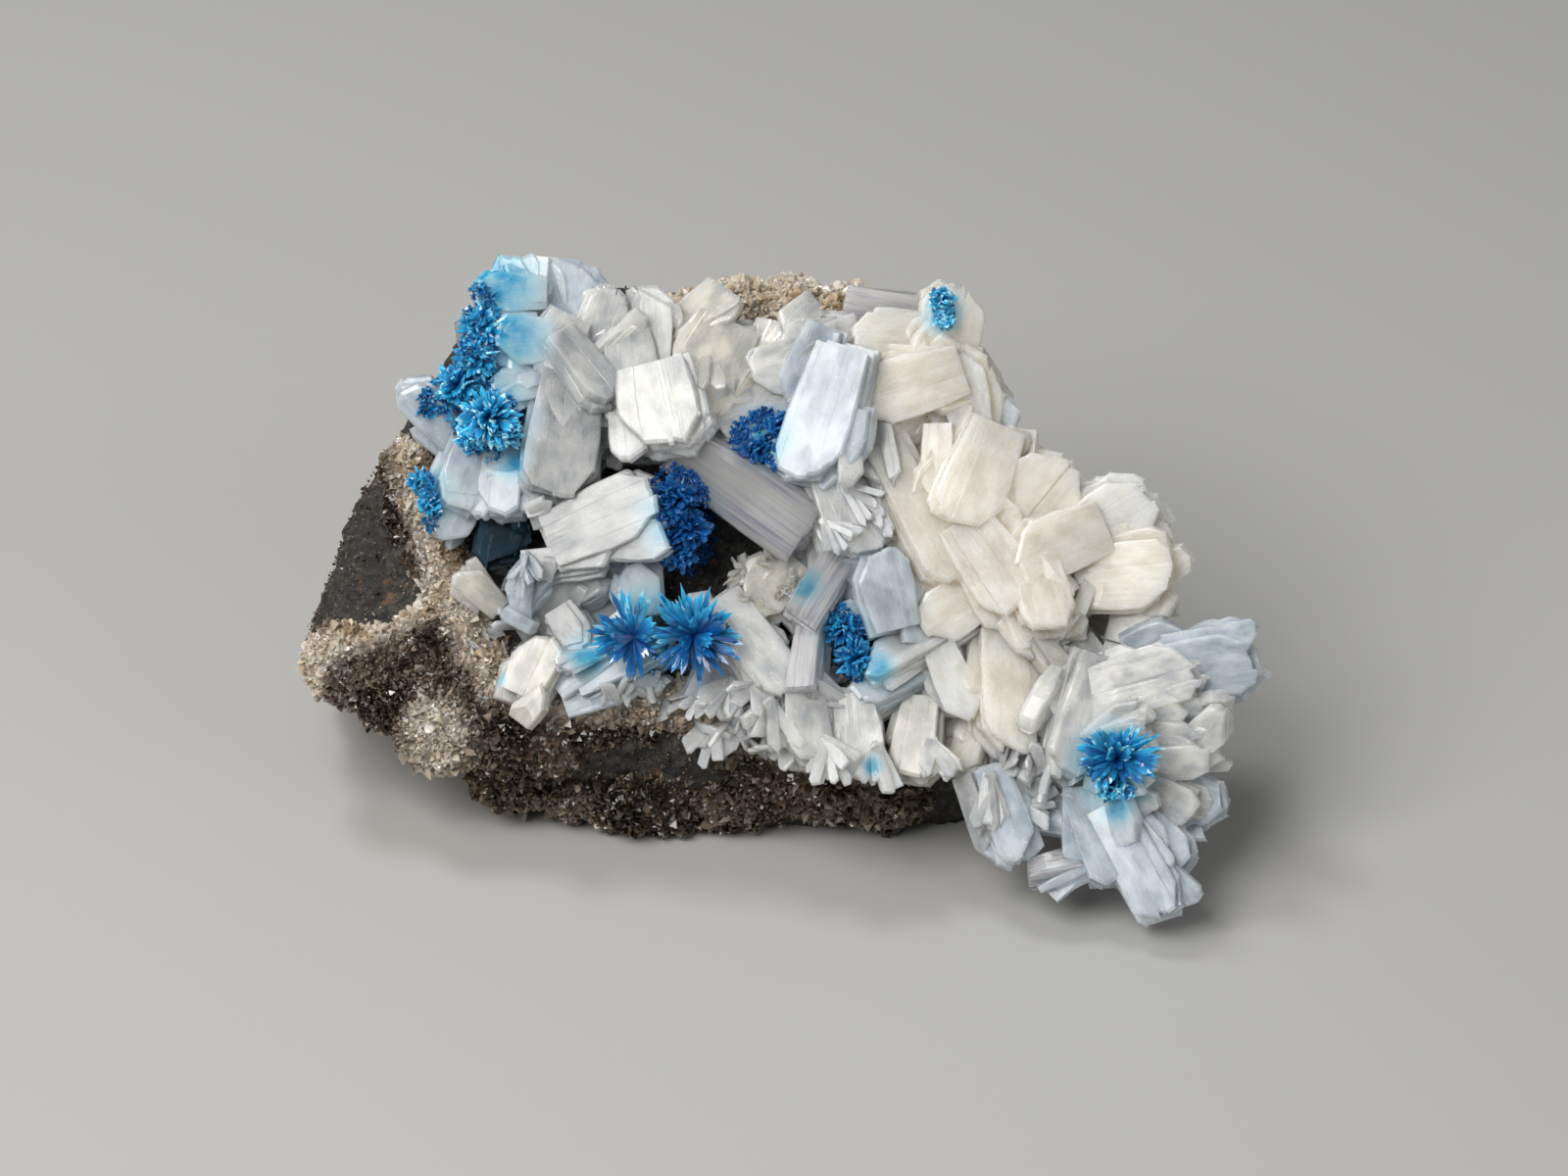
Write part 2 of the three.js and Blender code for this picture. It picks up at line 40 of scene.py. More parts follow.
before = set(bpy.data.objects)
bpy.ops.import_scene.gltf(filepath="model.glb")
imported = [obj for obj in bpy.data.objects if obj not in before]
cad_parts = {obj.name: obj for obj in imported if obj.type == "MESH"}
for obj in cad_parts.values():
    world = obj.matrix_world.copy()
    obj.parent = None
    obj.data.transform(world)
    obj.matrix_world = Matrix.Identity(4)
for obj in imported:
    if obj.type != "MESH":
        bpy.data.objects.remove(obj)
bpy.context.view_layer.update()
MM = 0.001

# ---------------------------------------------------------------- the display face
# Places are [across, up, out] on the broad face that carries the crystals, in millimetres.

FACE_LEAN = math.radians(35)
FACE_HEIGHT = 21.8
ACROSS = np.array([1.0, 0.0, 0.0])
UP = np.array([0.0, math.sin(FACE_LEAN), math.cos(FACE_LEAN)])
OUT = np.array([0.0, -math.cos(FACE_LEAN), math.sin(FACE_LEAN)])
FACE_AXES = np.array([ACROSS, UP, OUT])
FACE_MIDDLE = np.array([0.0, 0.0, FACE_HEIGHT])

# ---------------------------------------------------------------- basalt

ROCK_MIDDLE = np.array([-6.0, 9.5, 14.0])
ROCK_CRISPNESS = 13
ROCK_PLANES = [  # outward direction, distance
    ((0.0, -0.707, 0.707), 7.9), ((0.0, -0.985, -0.172), 15.6), ((-0.35, -0.9, -0.26), 21.5),
    ((-0.66, -0.3, 0.69), 27.2), ((-0.92, 0.24, 0.3), 30.2), ((-0.46, -0.51, -0.73), 21.8),
    ((0.0, 0.0, -1.0), 15.6), ((0.0, 1.0, 0.05), 15.2), ((-0.5, 0.85, 0.1), 23.0),
    ((0.08, 0.35, 0.93), 26.4), ((0.93, 0.2, 0.3), 27.0), ((0.75, 0.6, -0.25), 26.0),
    ((0.62, -0.3, -0.72), 28.0),
]
ROCK_WAVES = [  # height, radians a millimetre, phase
    (0.3, (0.55, 0.6, -0.5), 1.1), (0.3, (0.55, -0.6, 0.5), 2.7),
]
ROCK_FINENESS = 7  # times that the ball under the rock is divided
SWELL, CHIPS, CRUMBS, PITS = 0.45, 0.4, 0.36, 0.16  # relief, in millimetres
RELIEF_SHIFT = -0.3

# ---------------------------------------------------------------- druse
# Lumps under the crystals: [across, up, radius, height over the rock]

DRUSE_INNER = 0.76
DRUSE_SWELL = 0.9  # share of a lump's radius that its dome has
DRUSE_WAVES = 0.55
DRUSE_LEAN = 0.8
DRUSE_FLOOR = 0.15
LUMP_FINENESS = 4
DUST_SPREAD = 4
DUST_BACK = -18  # no grains are strewn further back than this
DUST_SIZES = (0.25, 0.6)
# The domes between the druse crystals are painted dark: painted shade under the crust.
DOME_PAINTED_SHADE = 0.15
DRUSE_SPLIT = -20  # between the left and the right piece of the front crust
FRONT_DRUSE = [
    (-37.0, -7.0, 3.8, 0.9), (-33.4, -5.8, 3.6, 1.0), (-29.8, -4.4, 3.6, 1.0),
    (-26.4, -2.6, 3.2, 1.1), (-33.6, -9.4, 4.2, 0.7), (-29.6, -8.8, 4.6, 0.6),
    (-28.2, -12.4, 4.4, 2.0), (-25.2, -6.6, 3.8, 1.1), (-24.0, -11.0, 4.8, 1.0),
    (-22.8, -16.2, 5.0, 1.0), (-19.6, -11.6, 4.4, 1.0), (-17.6, -17.0, 4.8, 1.1),
    (-15.6, -10.0, 3.6, 1.0), (-12.6, -18.2, 4.2, 1.0), (-8.6, -18.6, 4.2, 1.0),
    (-4.8, -18.0, 4.4, 1.1), (-1.2, -15.8, 4.8, 1.2), (3.2, -16.8, 5.0, 1.2),
    (8.0, -17.0, 5.2, 1.3), (-11.2, -9.6, 3.4, 0.8), (-7.2, -9.8, 3.4, 0.8),
    (-3.4, -11.8, 3.8, 1.0), (-31.0, 9.8, 3.0, 1.0), (-30.0, 6.0, 3.2, 1.0), (-28.2, 2.4, 3.2, 1.1),
    (-27.2, -0.2, 3.4, 1.1), (-23.2, -13.6, 4.8, 1.0),
]
CREST_DRUSE = [
    (-8.0, 21.8, 3.4, 1.1), (-3.8, 22.6, 3.8, 1.4), (0.6, 22.8, 3.8, 1.6), (5.0, 22.4, 3.6, 1.4),
]
DRUSE_CRUSTS = {  # node, crystals, shortest and longest, seed, grains strewn round it
    "druse_wall_left": ("druse_front", 34000, (0.18, 0.52), 11, 2200),
    "druse_wall_right": ("druse_front", 30000, (0.18, 0.52), 13, 2200),
    "druse_top": ("druse_crest", 7000, (0.22, 0.6), 12, 0),
}
# Where the druse is pale: a line of places on the display face, and how far it reaches. The cream
# there is partly the crust's colour and partly painted light; the brown away from it is partly
# painted shade in the hollows.
PALE_LIT_RIMS = [
    ([(-40, -6.0), (-36, -4.0), (-31.5, -2.0), (-28.6, -0.8), (-27.8, 2), (-29.4, 5.6),
      (-30.6, 9.6), (-31.2, 13)], 1.5),
    ([(-26, -1.4), (-24.4, -5), (-22.6, -7.4), (-18.5, -8.6), (-13, -8.4), (-7.5, -9.0),
      (-3.2, -10.6)], 2.2),
    ([(-1, -13), (4, -14.6), (10, -14.6)], 1.0),
    ([(-28.6, -11.4), (-28.2, -13.2)], 2.3),
    ([(-39.0, -9.4), (-38.4, -6.4)], 0.9),
]

# ---------------------------------------------------------------- stilbite blades
# [across, up, out, length, width, thickness, turn, lean, roll, tip, finish]

LEFT_BLADES = [
    (-17.0, 22.0, -2.2, 10.2, 8.6, 2.2, 88, -4, 4, "blunt", "cool"),
    (-22.2, 25.0, -1.6, 5.6, 4.2, 2.6, 95, -4, -12, "round", "cool"),
    (-22.2, 24.2, -0.2, 6.4, 3.8, 2.8, 178, 10, 8, "round", "cool"),
    (-25.7, 20.4, -2.8, 5.0, 3.2, 1.8, 118, 4, -25, "round", "clear"),
    (-21.2, 20.2, 1.4, 6.0, 4.8, 3.6, 182, 14, 4, "round", "cool"),
    (-18.6, 19.6, 0.8, 6.6, 5.2, 4.0, -115, 12, 5, "blunt", "white"),
    (-15.9, 18.4, 2.2, 8.0, 4.0, 3.6, -52, 12, -38, "blunt", "grey"),
    (-14.4, 21.0, -0.6, 7.4, 5.6, 3.6, 66, -10, 8, "blunt", "white"),
    (-22.0, 16.6, 1.2, 5.0, 3.4, 2.8, 188, 14, 8, "round", "cool"),
    (-17.9, 12.6, 2.2, 11.8, 7.0, 5.4, -96, 10, -8, "blunt", "grey"),
    (-28.5, 13.6, -1.4, 8.4, 3.6, 3.0, 134, 10, -20, "blunt", "cool"),
    (-26.0, 9.2, 0.0, 6.8, 4.6, 3.4, -108, 14, -12, "round", "cool"),
    (-23.2, 8.8, 0.8, 6.4, 4.2, 3.4, -96, 16, 8, "blunt", "cool"),
    (-23.2, 4.2, -1.8, 5.4, 4.6, 2.6, -95, 8, 0, "round", "shaded"),
    (-26.8, 5.7, -1.4, 5.0, 3.8, 2.6, -120, 10, -14, "blunt", "cool"),
    (-14.8, 5.8, 3.0, 10.8, 6.4, 4.8, 22, 8, -10, "blunt", "grey"),
    (-24.9, -0.2, -0.8, 5.4, 2.8, 2.4, 137, 6, 0, "round", "cream"),
    (-18.8, -0.4, -0.6, 6.4, 4.4, 3.0, 58, 12, -8, "blunt", "grey"),
    (-17.4, -3.4, 0.2, 4.8, 3.6, 2.6, -58, 12, 8, "blunt", "grey"),
    (-20.5, -6.1, 1.0, 6.2, 4.7, 3.8, 66, -6, -8, "round", "cream"),
]
CENTRE_BLADES = [
    (-10.8, 21.2, -0.6, 8.0, 3.9, 3.4, 92, -6, -8, "round", "white"),
    (-6.2, 18.2, 0.4, 9.8, 7.8, 4.6, -118, 14, 0, "blunt", "cream"),
    (-12.4, 18.0, 1.2, 7.0, 5.4, 4.2, -80, 10, -12, "blunt", "white"),
    (-10.3, 14.9, 4.2, 8.0, 7.8, 4.2, -78, 18, 6, "blunt", "white"),
    (-3.0, 14.6, 1.2, 7.8, 5.0, 3.6, -160, 10, 10, "blunt", "white"),
    (0.8, 18.2, 0.8, 8.0, 5.2, 4.0, 196, 8, 6, "blunt", "white"),
    (2.9, 14.1, 3.8, 12.8, 6.4, 5.0, -106, 10, 12, "round", "cool"),
    (-3.5, 7.6, 2.2, 14.2, 6.2, 4.8, -35, 5, 18, "square", "clear"),
    (5.6, 6.2, 2.8, 8.0, 6.0, 5.0, -62, 12, -14, "blunt", "white"),
    (7.4, 11.0, 2.0, 6.0, 4.4, 4.2, -84, 10, 12, "blunt", "white"),
    (3.4, 1.0, 2.6, 9.4, 3.6, 4.0, -122, 10, 18, "square", "clear"),
    (-11.8, 0.0, 1.2, 5.2, 4.2, 3.6, 98, 10, 0, "round", "cool"),
    (-13.6, -5.4, 0.6, 9.2, 4.6, 4.4, 30, 0, -8, "blunt", "cool"),
    (-1.0, 0.4, 0.8, 6.4, 5.0, 4.0, -128, 10, 4, "blunt", "cream"),
    (10.6, -12.0, 2.0, 7.6, 4.2, 3.8, -98, 12, 8, "blunt", "cream"),
    (-5.4, -7.4, 0.0, 5.8, 4.4, 3.4, 58, 6, 0, "blunt", "cool"),
    (-2.1, -4.6, 2.6, 11.2, 4.7, 4.2, -54, 10, -14, "blunt", "white"),
    (1.6, -5.2, 3.2, 7.2, 2.7, 3.6, -98, 10, 12, "square", "clear"),
    (8.5, 0.0, 3.8, 7.6, 5.3, 4.4, 102, 4, 8, "round", "cool"),
    (10.2, -4.3, 2.6, 9.8, 3.6, 4.0, 206, 10, 26, "blunt", "white"),
    (8.9, -7.1, 1.8, 8.0, 3.6, 3.6, 204, 10, 20, "blunt", "cool"),
    (13.2, -7.2, 1.6, 7.0, 4.3, 4.0, -78, 10, 6, "blunt", "white"),
    (2.0, -10.9, 3.6, 7.4, 4.3, 4.2, -82, 18, -10, "round", "white"),
    (6.0, -11.8, 2.8, 7.6, 4.5, 4.0, -84, 16, 8, "round", "white"),
]
RIGHT_BLADES = [
    (9.2, 22.6, -2.8, 8.8, 4.2, 2.4, -12, 0, 0, "square", "clear"),
    (9.2, 21.0, -0.4, 8.6, 4.2, 4.0, -178, 8, 14, "blunt", "cream"),
    (14.0, 20.6, -0.8, 9.4, 5.7, 4.4, 84, -6, 10, "round", "cream"),
    (10.6, 16.6, 1.6, 9.4, 5.8, 5.4, -164, 10, 6, "blunt", "cream"),
    (14.8, 15.8, 0.6, 8.4, 4.6, 4.6, 102, -6, 6, "blunt", "white"),
    (17.2, 14.0, -0.8, 5.2, 3.6, 2.8, -8, 4, 10, "blunt", "cool"),
    (11.2, 6.2, 2.4, 14.4, 4.8, 5.6, -62, 8, -34, "blunt", "cream"),
    (16.0, 9.2, 2.6, 10.0, 6.6, 5.6, -112, 10, -6, "blunt", "cream"),
    (20.4, 7.2, 1.6, 9.6, 6.8, 5.6, 52, -4, 6, "blunt", "cream"),
    (22.4, 3.6, 2.8, 9.4, 6.2, 5.6, -158, 10, 0, "blunt", "cream"),
    (26.4, 5.4, 1.0, 9.6, 6.4, 5.2, 34, 2, 4, "blunt", "white"),
    (28.4, 5.8, -1.0, 7.6, 5.0, 3.4, 22, -6, 0, "round", "white"),
    (27.6, 1.0, 2.0, 9.0, 6.4, 5.4, 4, 6, 0, "blunt", "cream"),
    (17.0, 1.9, 3.2, 10.2, 6.6, 5.6, -52, 10, 0, "blunt", "cream"),
    (21.0, -0.2, 3.8, 8.0, 5.2, 5.0, -74, 16, 0, "round", "cream"),
    (14.0, -1.6, 2.4, 7.6, 5.2, 4.8, -150, 10, 6, "blunt", "cream"),
    (18.2, -8.2, 3.2, 11.6, 4.9, 5.0, -84, 12, -14, "round", "cream"),
    (21.0, -6.4, 1.6, 8.4, 3.6, 4.0, -66, 10, -30, "blunt", "cream"),
]
FRONT_BLADES = [
    (24.4, -10.4, 4.2, 11.6, 4.9, 4.2, -104, 10, -16, "round", "white"),
    (28.6, -7.6, 4.2, 11.0, 5.8, 4.4, 14, 8, -10, "blunt", "white"),
    (34.0, -6.5, 2.2, 10.6, 5.6, 3.4, 6, 6, 10, "round", "cool"),
    (32.0, -11.4, 3.0, 10.2, 3.4, 3.2, 6, 10, 22, "blunt", "white"),
    (31.0, -14.3, 3.8, 10.6, 3.4, 3.2, 4, 10, 24, "point", "white"),
    (32.8, -16.8, 1.8, 7.2, 4.8, 2.8, -28, 8, 0, "blunt", "cool"),
    (29.8, -17.0, 3.4, 8.6, 4.2, 3.4, -24, 14, 12, "blunt", "white"),
    (30.0, -20.6, 4.2, 7.8, 5.0, 3.2, -42, 10, 0, "round", "cool"),
    (28.4, -22.2, 5.4, 11.8, 5.0, 2.8, -60, 8, 6, "round", "cool"),
    (25.4, -20.0, 4.4, 9.2, 4.4, 3.4, -66, 8, -10, "blunt", "cool"),
    (21.9, -22.1, 4.0, 5.0, 2.6, 2.4, 13, 0, -36, "square", "clear"),
    (18.1, -18.2, 3.6, 9.2, 4.0, 3.4, -72, 10, -14, "round", "cool"),
    (15.4, -18.4, 2.8, 7.4, 2.4, 2.8, -73, 8, 20, "blunt", "grey"),
    (20.2, -16.0, 0.6, 8.4, 5.4, 3.0, -78, 8, 0, "blunt", "grey"),
]
OUTER_BLADES = [
    (28.2, 3.2, -4.4, 8.6, 6.2, 4.0, 16, -22, 30, "blunt", "cream"),
    (28.4, -2.0, -4.4, 9.0, 5.8, 4.0, -12, -20, 20, "blunt", "cream"),
    (31.6, -7.8, -2.2, 9.0, 5.0, 3.4, 2, -16, 24, "round", "white"),
    (27.4, -18.6, 0.2, 8.0, 4.6, 3.2, -50, -8, 0, "blunt", "white"),
    (22.8, 5.6, -4.8, 8.8, 6.2, 4.4, 58, -24, 10, "blunt", "cream"),
    (14.4, 10.2, -4.6, 7.4, 5.4, 4.0, 30, -24, 18, "blunt", "cream"),
    (11.8, 17.4, -5.0, 7.0, 5.0, 3.4, 80, -24, 10, "round", "cream"),
    (-16.4, 20.6, -5.0, 8.0, 5.4, 3.2, 94, -26, 0, "blunt", "white"),
    (-23.4, 15.8, -4.6, 7.0, 4.4, 3.0, 146, -16, -24, "blunt", "cool"),
]
BED_BLADES = [
    (-19.0, 14.6, -1.4, 18.0, 12.6, 6.5, 62, 0, 0, "blunt", "grey"),
    (-16.4, -1.2, -1.8, 13.0, 8.0, 4.6, -168, 0, 0, "blunt", "grey"),
    (-8.0, 16.2, -1.0, 18.0, 11.0, 6.5, 8, 0, 0, "blunt", "grey"),
    (4.6, 14.6, -0.6, 17.0, 12.0, 6.5, 86, 0, 0, "blunt", "white"),
    (3.6, 2.4, -0.6, 15.0, 9.0, 6.0, -60, 0, 0, "blunt", "white"),
    (13.6, 13.0, -0.6, 16.0, 9.5, 7.0, 82, 0, 0, "blunt", "cream"),
    (20.0, 2.6, -0.4, 18.0, 13.0, 9.0, 4, 0, 0, "blunt", "cream"),
    (16.6, -7.4, -0.6, 15.0, 10.5, 7.0, -84, 0, 0, "blunt", "cream"),
    (25.8, -12.0, 0.8, 17.0, 10.5, 6.0, -58, 0, 0, "blunt", "white"),
]
LEAN_SPREAD = 6
ROLL_SPREAD = 7
SLANT_SPREAD = 0.18
FRONT_TAPER = 0.9
ROOT_SHARE = 0.82
SEED_STEP = 12
TERRACE = 0.07  # height of a low step on a blade's front
TERRACE_SHARE = 0.35  # of the broad blades that have one
BROAD_WIDTH = 3  # blades wider than this may have one
LARGE_AREA = 40  # blades larger than this, in square millimetres, have more offshoots
OFFSHOOT_TIPS = ["blunt", "round", "blunt", "point"]
SMALL_TIPS = ["blunt", "point", "round", "point"]
BARE_LENGTH = 2  # small crystals longer than this stay off the broad faces
STILBITE_SEED = 5
PROUD = 2.5  # blades further out than this have no crystals on their front
MOST_LAYERS = 7
GRAIN_SHIFT = 40  # how far apart the patterns of two blades may lie
RAY_START = 22  # rays to the surface start this far out
TIPS = {  # share of the half width, widths below the tip
    "blunt": ((1, 0.3), (0.5, 0)),
    "round": ((1, 0.38), (0.55, 0.03)),
    "point": ((1, 0.7), (0.15, 0)),
    "square": ((1, 0.05), (0.92, 0)),
}
FINISHES = {  # linear colour of each kind of stilbite
    "cream": (0.80, 0.77, 0.69),
    "white": (0.80, 0.80, 0.77),
    "bright": (0.85, 0.85, 0.84),
    "tan": (0.78, 0.71, 0.57),
    "cool": (0.68, 0.75, 0.80),
    "grey": (0.60, 0.61, 0.60),
    "clear": (0.80, 0.81, 0.86),
    # shaded is painted shade: a nearly black colour for a blade deep in a shadowed hollow.
    "shaded": (0.02, 0.06, 0.09),
}
# Small crystals strewn over ellipses of the display face:
# [across, up, half width, half height, turn, crystals, length, finish, habit]
STILBITE_FIELDS = {
    "left": [
        (-21.5, 18.0, 4.5, 7.5, 0, 12, 4.4, "cool", "alongside"),
        (-24.5, 9.0, 5.0, 5.0, 0, 12, 4.2, "cool", "alongside"),
        (-16.5, 8.0, 5.0, 8.0, 0, 8, 4.0, "grey", "alongside"),
        (-19.5, -0.6, 5.0, 3.2, -10, 10, 4.2, "cool", "radiating"),
        (-21.0, -5.0, 5.0, 1.6, -10, 14, 2.2, "cream", "radiating"),
    ],
    "centre": [
        (-6.0, 18.5, 10.0, 5.0, 0, 16, 5.0, "white", "alongside"),
        (2.5, -11.4, 10.5, 2.8, -8, 22, 5.2, "white", "radiating"),
        (4.5, 6.0, 4.5, 7.0, 0, 10, 4.4, "white", "alongside"),
        (4.0, -5.5, 8.0, 4.0, -20, 16, 4.4, "white", "alongside"),
        (-1.0, 0.5, 3.5, 2.6, 0, 16, 1.8, "tan", "radiating"),
        (-8.0, -8.4, 7.0, 1.4, 0, 13, 3.8, "white", "radiating"),
    ],
    "right": [
        (13.5, 18.0, 4.4, 6.5, 0, 14, 6.0, "cream", "alongside"),
        (19.0, 5.0, 9.0, 8.0, 0, 26, 8.0, "cream", "alongside"),
        (17.5, -6.0, 6.5, 7.0, 0, 18, 7.0, "cream", "alongside"),
        (27.0, 2.0, 5.0, 7.0, 0, 20, 7.0, "cream", "alongside"),
    ],
    "front": [
        (28.0, -12.0, 8.5, 7.5, 0, 22, 6.4, "white", "alongside"),
        (23.5, -20.0, 8.0, 4.5, -25, 18, 5.4, "cool", "alongside"),
        (20.0, -15.0, 5.0, 3.0, -20, 14, 3.6, "white", "radiating"),
    ],
}
# Blades fanned out from one root: [across, up, turn, spread, blades, length, width, roll, finish]
STILBITE_FANS = {
    "left": [
        (-13.6, -4.9, 197, 9, 13, 6.2, 0.9, 10, "bright"),
        (-20.4, -2.2, 100, 60, 8, 4.6, 2.6, 74, "cool"),
        (-16.4, -1.6, 60, 40, 6, 4.4, 2.4, 70, "grey"),
        (-22.8, 1.8, 110, 45, 6, 3.0, 1.6, 66, "cool"),
    ],
    "centre": [
        (-4.6, -7.6, -120, 34, 7, 4.6, 1.2, 20, "white"),
        (-1.0, -9.4, -100, 40, 8, 5.2, 1.3, -20, "white"),
        (3.4, -12.4, -80, 44, 8, 4.8, 1.2, 15, "white"),
        (7.6, -13.0, -96, 36, 8, 5.0, 1.4, -15, "white"),
        (-9.6, -7.4, -140, 30, 6, 3.8, 1.1, 30, "cool"),
        (12.0, -12.6, -70, 34, 7, 4.6, 1.5, 10, "white"),
        (4.6, 8.6, -56, 40, 12, 5.4, 0.8, -10, "bright"),
        (7.4, 7.6, -104, 40, 12, 4.8, 0.8, 10, "bright"),
        (3.2, 5.4, -40, 40, 10, 4.2, 0.7, 0, "bright"),
    ],
    "right": [(14.8, -11.0, -100, 24, 6, 5.6, 2.2, 10, "cream")],
    "front": [
        (24.6, -12.4, 12, 34, 9, 7.6, 2.2, 20, "white"),
        (25.4, -15.6, -46, 26, 8, 7.0, 2.4, 8, "white"),
        (16.6, -15.4, -88, 22, 7, 5.6, 1.4, 24, "grey"),
    ],
}

# ---------------------------------------------------------------- cavansite
# Rosettes: [across, up, out, radius]. Those in OPEN_FANS have the reach of their fans instead.

ROSETTES = {
    "cavansite_band_left": [
        (-24.7, 21.2, 0.6, 2.3), (-25.0, 18.8, 0.7, 2.3), (-26.6, 16.6, 0.5, 2.3)],
    "cavansite_rosette_left": [
        (-24.0, 13.8, 2.4, 2.8), (-25.4, 12.4, 1.8, 1.7), (-22.6, 12.5, 2.2, 1.8)],
    "cavansite_rim_left": [(-29.6, 8.7, -1.2, 1.5), (-28.9, 6.9, -0.8, 1.4)],
    "cavansite_pocket_center": [
        (-8.6, 7.2, 2.2, 2.3), (-7.8, 4.8, 2.0, 2.3), (-8.7, 2.9, 1.4, 2.0)],
    "cavansite_pocket_top": [(-1.9, 11.4, 1.5, 2.0), (-0.5, 13.2, 1.9, 1.5)],
    "cavansite_rosettes_front": [(-7.3, -3.8, 2.4, 4.2), (-12.2, -3.9, 2.2, 3.2)],
    "cavansite_pocket_right": [(4.9, -3.2, 2.2, 2.1), (5.9, -5.8, 2.9, 2.1)],
    "cavansite_tuft_right": [(26.9, -13.7, 6.2, 2.8), (26.4, -16.0, 5.6, 1.7)],
    "cavansite_patch_top": [(12.9, 23.4, 0.2, 1.4), (13.1, 22.0, 0.4, 1.1)],
}
# Coats of tiny rosettes: [across, up, half width, half height, turn, rosettes, largest radius]
COATS = {
    "cavansite_band_left": [
        (-24.8, 20.6, 1.3, 4.4, 0, 80, 1.0), (-26.8, 16.0, 3.4, 1.7, 25, 80, 1.0),
    ],
    "cavansite_rosette_left": [(-24.2, 13.4, 3.0, 3.0, 0, 80, 0.7)],
    "cavansite_rim_left": [(-29.4, 7.6, 1.1, 2.9, 10, 80, 0.6)],
    "cavansite_pocket_center": [(-8.4, 5.6, 2.7, 4.4, 10, 250, 0.65)],
    "cavansite_pocket_top": [(-1.8, 12.0, 2.4, 2.8, -35, 130, 0.6)],
    "cavansite_rosettes_front": [(-9.4, -4.6, 5.4, 2.4, 5, 60, 0.7)],
    "cavansite_pocket_right": [(5.2, -4.4, 1.5, 3.3, 15, 110, 0.65)],
    "cavansite_tuft_right": [(26.8, -14.5, 2.4, 2.6, 0, 50, 0.7)],
    "cavansite_patch_top": [(13.0, 22.8, 0.9, 1.7, 10, 40, 0.5)],
}
# How brightly each growth's blues are painted: the pockets are painted darker, painted shade in
# their hollows.
PAINTED_LIGHT_LEVEL = {
    "cavansite_band_left": 1.0, "cavansite_rosette_left": 1.2, "cavansite_rim_left": 0.85,
    "cavansite_pocket_center": 0.32, "cavansite_pocket_top": 0.42,
    "cavansite_rosettes_front": 0.95, "cavansite_pocket_right": 0.65,
    "cavansite_tuft_right": 1.15, "cavansite_patch_top": 1.1,
}
# Places inside the stilbite that cavansite colours: [across, up, out, radius]
STAINS = [
    (-24.0, 25.2, -0.4, 6.0), (-22.4, 20.8, 1.6, 4.4), (-25.0, 18.6, 0.2, 4.4),
    (-24.0, 14.0, 2.2, 5.0), (-22.0, 10.4, 1.2, 2.6), (-29.0, 7.8, -1.0, 3.2),
    (-8.4, 5.6, 2.0, 4.6), (-1.2, 12.2, 1.6, 3.6), (-9.6, -3.8, 2.0, 5.8), (-16.0, -5.4, 1.4, 2.8),
    (-23.6, -7.3, 0.6, 1.3), (1.4, 0.4, 3.0, 2.4), (5.2, -4.4, 2.2, 3.6), (7.4, -6.6, 3.4, 2.4),
    (26.6, -14.6, 5.2, 4.8), (26.6, -17.6, 5.6, 2.4), (7.2, -14.4, 3.6, 1.2),
    (13.0, 22.8, 0.0, 2.6),
]
STAIN_CORE = 0.3  # share of the radius where the colour is full
CAVANSITE_SEED = 100
ROSETTE_FLOOR = 0.5  # no blue blade reaches lower than this
OPEN_BLADES = 11  # in a fan of an open rosette
POCKET_DEPTH = 0.7  # how far the rosettes of a pocket are set back
POCKET_RIM = 0.6  # a pocket's coat stops this far out of its rosettes
COAT_TONE = 0.7  # how bright a coat is beside its rosettes
# Open rosettes, by their place: fans as [degrees round the display face, degrees out of it, length]
OPEN_FANS = {
    (-7.3, -3.8): [
        (88, 22, 5.0), (112, 34, 4.5), (138, 18, 5.0), (66, 46, 4.4), (48, 26, 4.8), (20, 40, 4.4),
        (0, 14, 4.8), (-22, 24, 4.8), (-49, 18, 4.5), (-66, 50, 3.8), (-84, 10, 4.6),
        (-112, 28, 4.1), (-140, 14, 4.2), (178, 20, 4.5), (158, 46, 4.2), (-30, 60, 3.4),
        (-150, 60, 3.2), (100, 66, 3.4),
    ],
    (-12.2, -3.9): [
        (108, 22, 4.9), (80, 34, 4.5), (152, 26, 4.1), (180, 14, 4.2),
        (204, 20, 4.0), (-130, 28, 3.6), (-95, 22, 3.9),
        (130, 48, 3.8), (-160, 52, 3.0), (40, 40, 3.2), (-50, 40, 3.1), (0, 50, 2.8),
    ],
    (26.9, -13.7): [
        (84, 34, 3.2), (60, 26, 3.6), (38, 34, 4.2), (14, 24, 4.4), (-10, 34, 4.3), (108, 28, 3.4),
        (134, 36, 4.0), (160, 26, 4.4), (186, 36, 4.4), (-36, 40, 3.7), (-70, 40, 2.9),
        (-120, 34, 3.4), (-150, 40, 4.0), (70, 62, 2.8), (150, 64, 2.6), (20, 64, 2.6),
        (-90, 66, 2.4),
    ],
}

# ---------------------------------------------------------------- the stage

LIGHTS = {  # place, size, power, colour
    "key": ((-0.22, -0.23, 0.405), 0.34, 2.55, (1.0, 0.98, 0.95)),
    "fill": ((0.42, -0.3, 0.3), 0.3, 0.6, (1.0, 0.99, 0.97)),
    "rim": ((-0.19, 0.16, 0.5), 0.12, 0.9, (1.0, 1.0, 1.0)),
}
LIGHT_TARGET = (0, 0, 0.02)
SKY_COLOR = (1.0, 0.99, 0.97)
FLOOR_HALF = 1.5
LENS = 150
SENSOR = 36
VIEW_WIDTH = 128  # millimetres of the display face across the picture

# ---------------------------------------------------------------- numbers and places

def vary(seed):
    """A steady number from -1 to 1 for each seed."""
    wave = math.sin(seed * 12.9898) * 43758.5453
    return 2 * (wave - math.floor(wave)) - 1


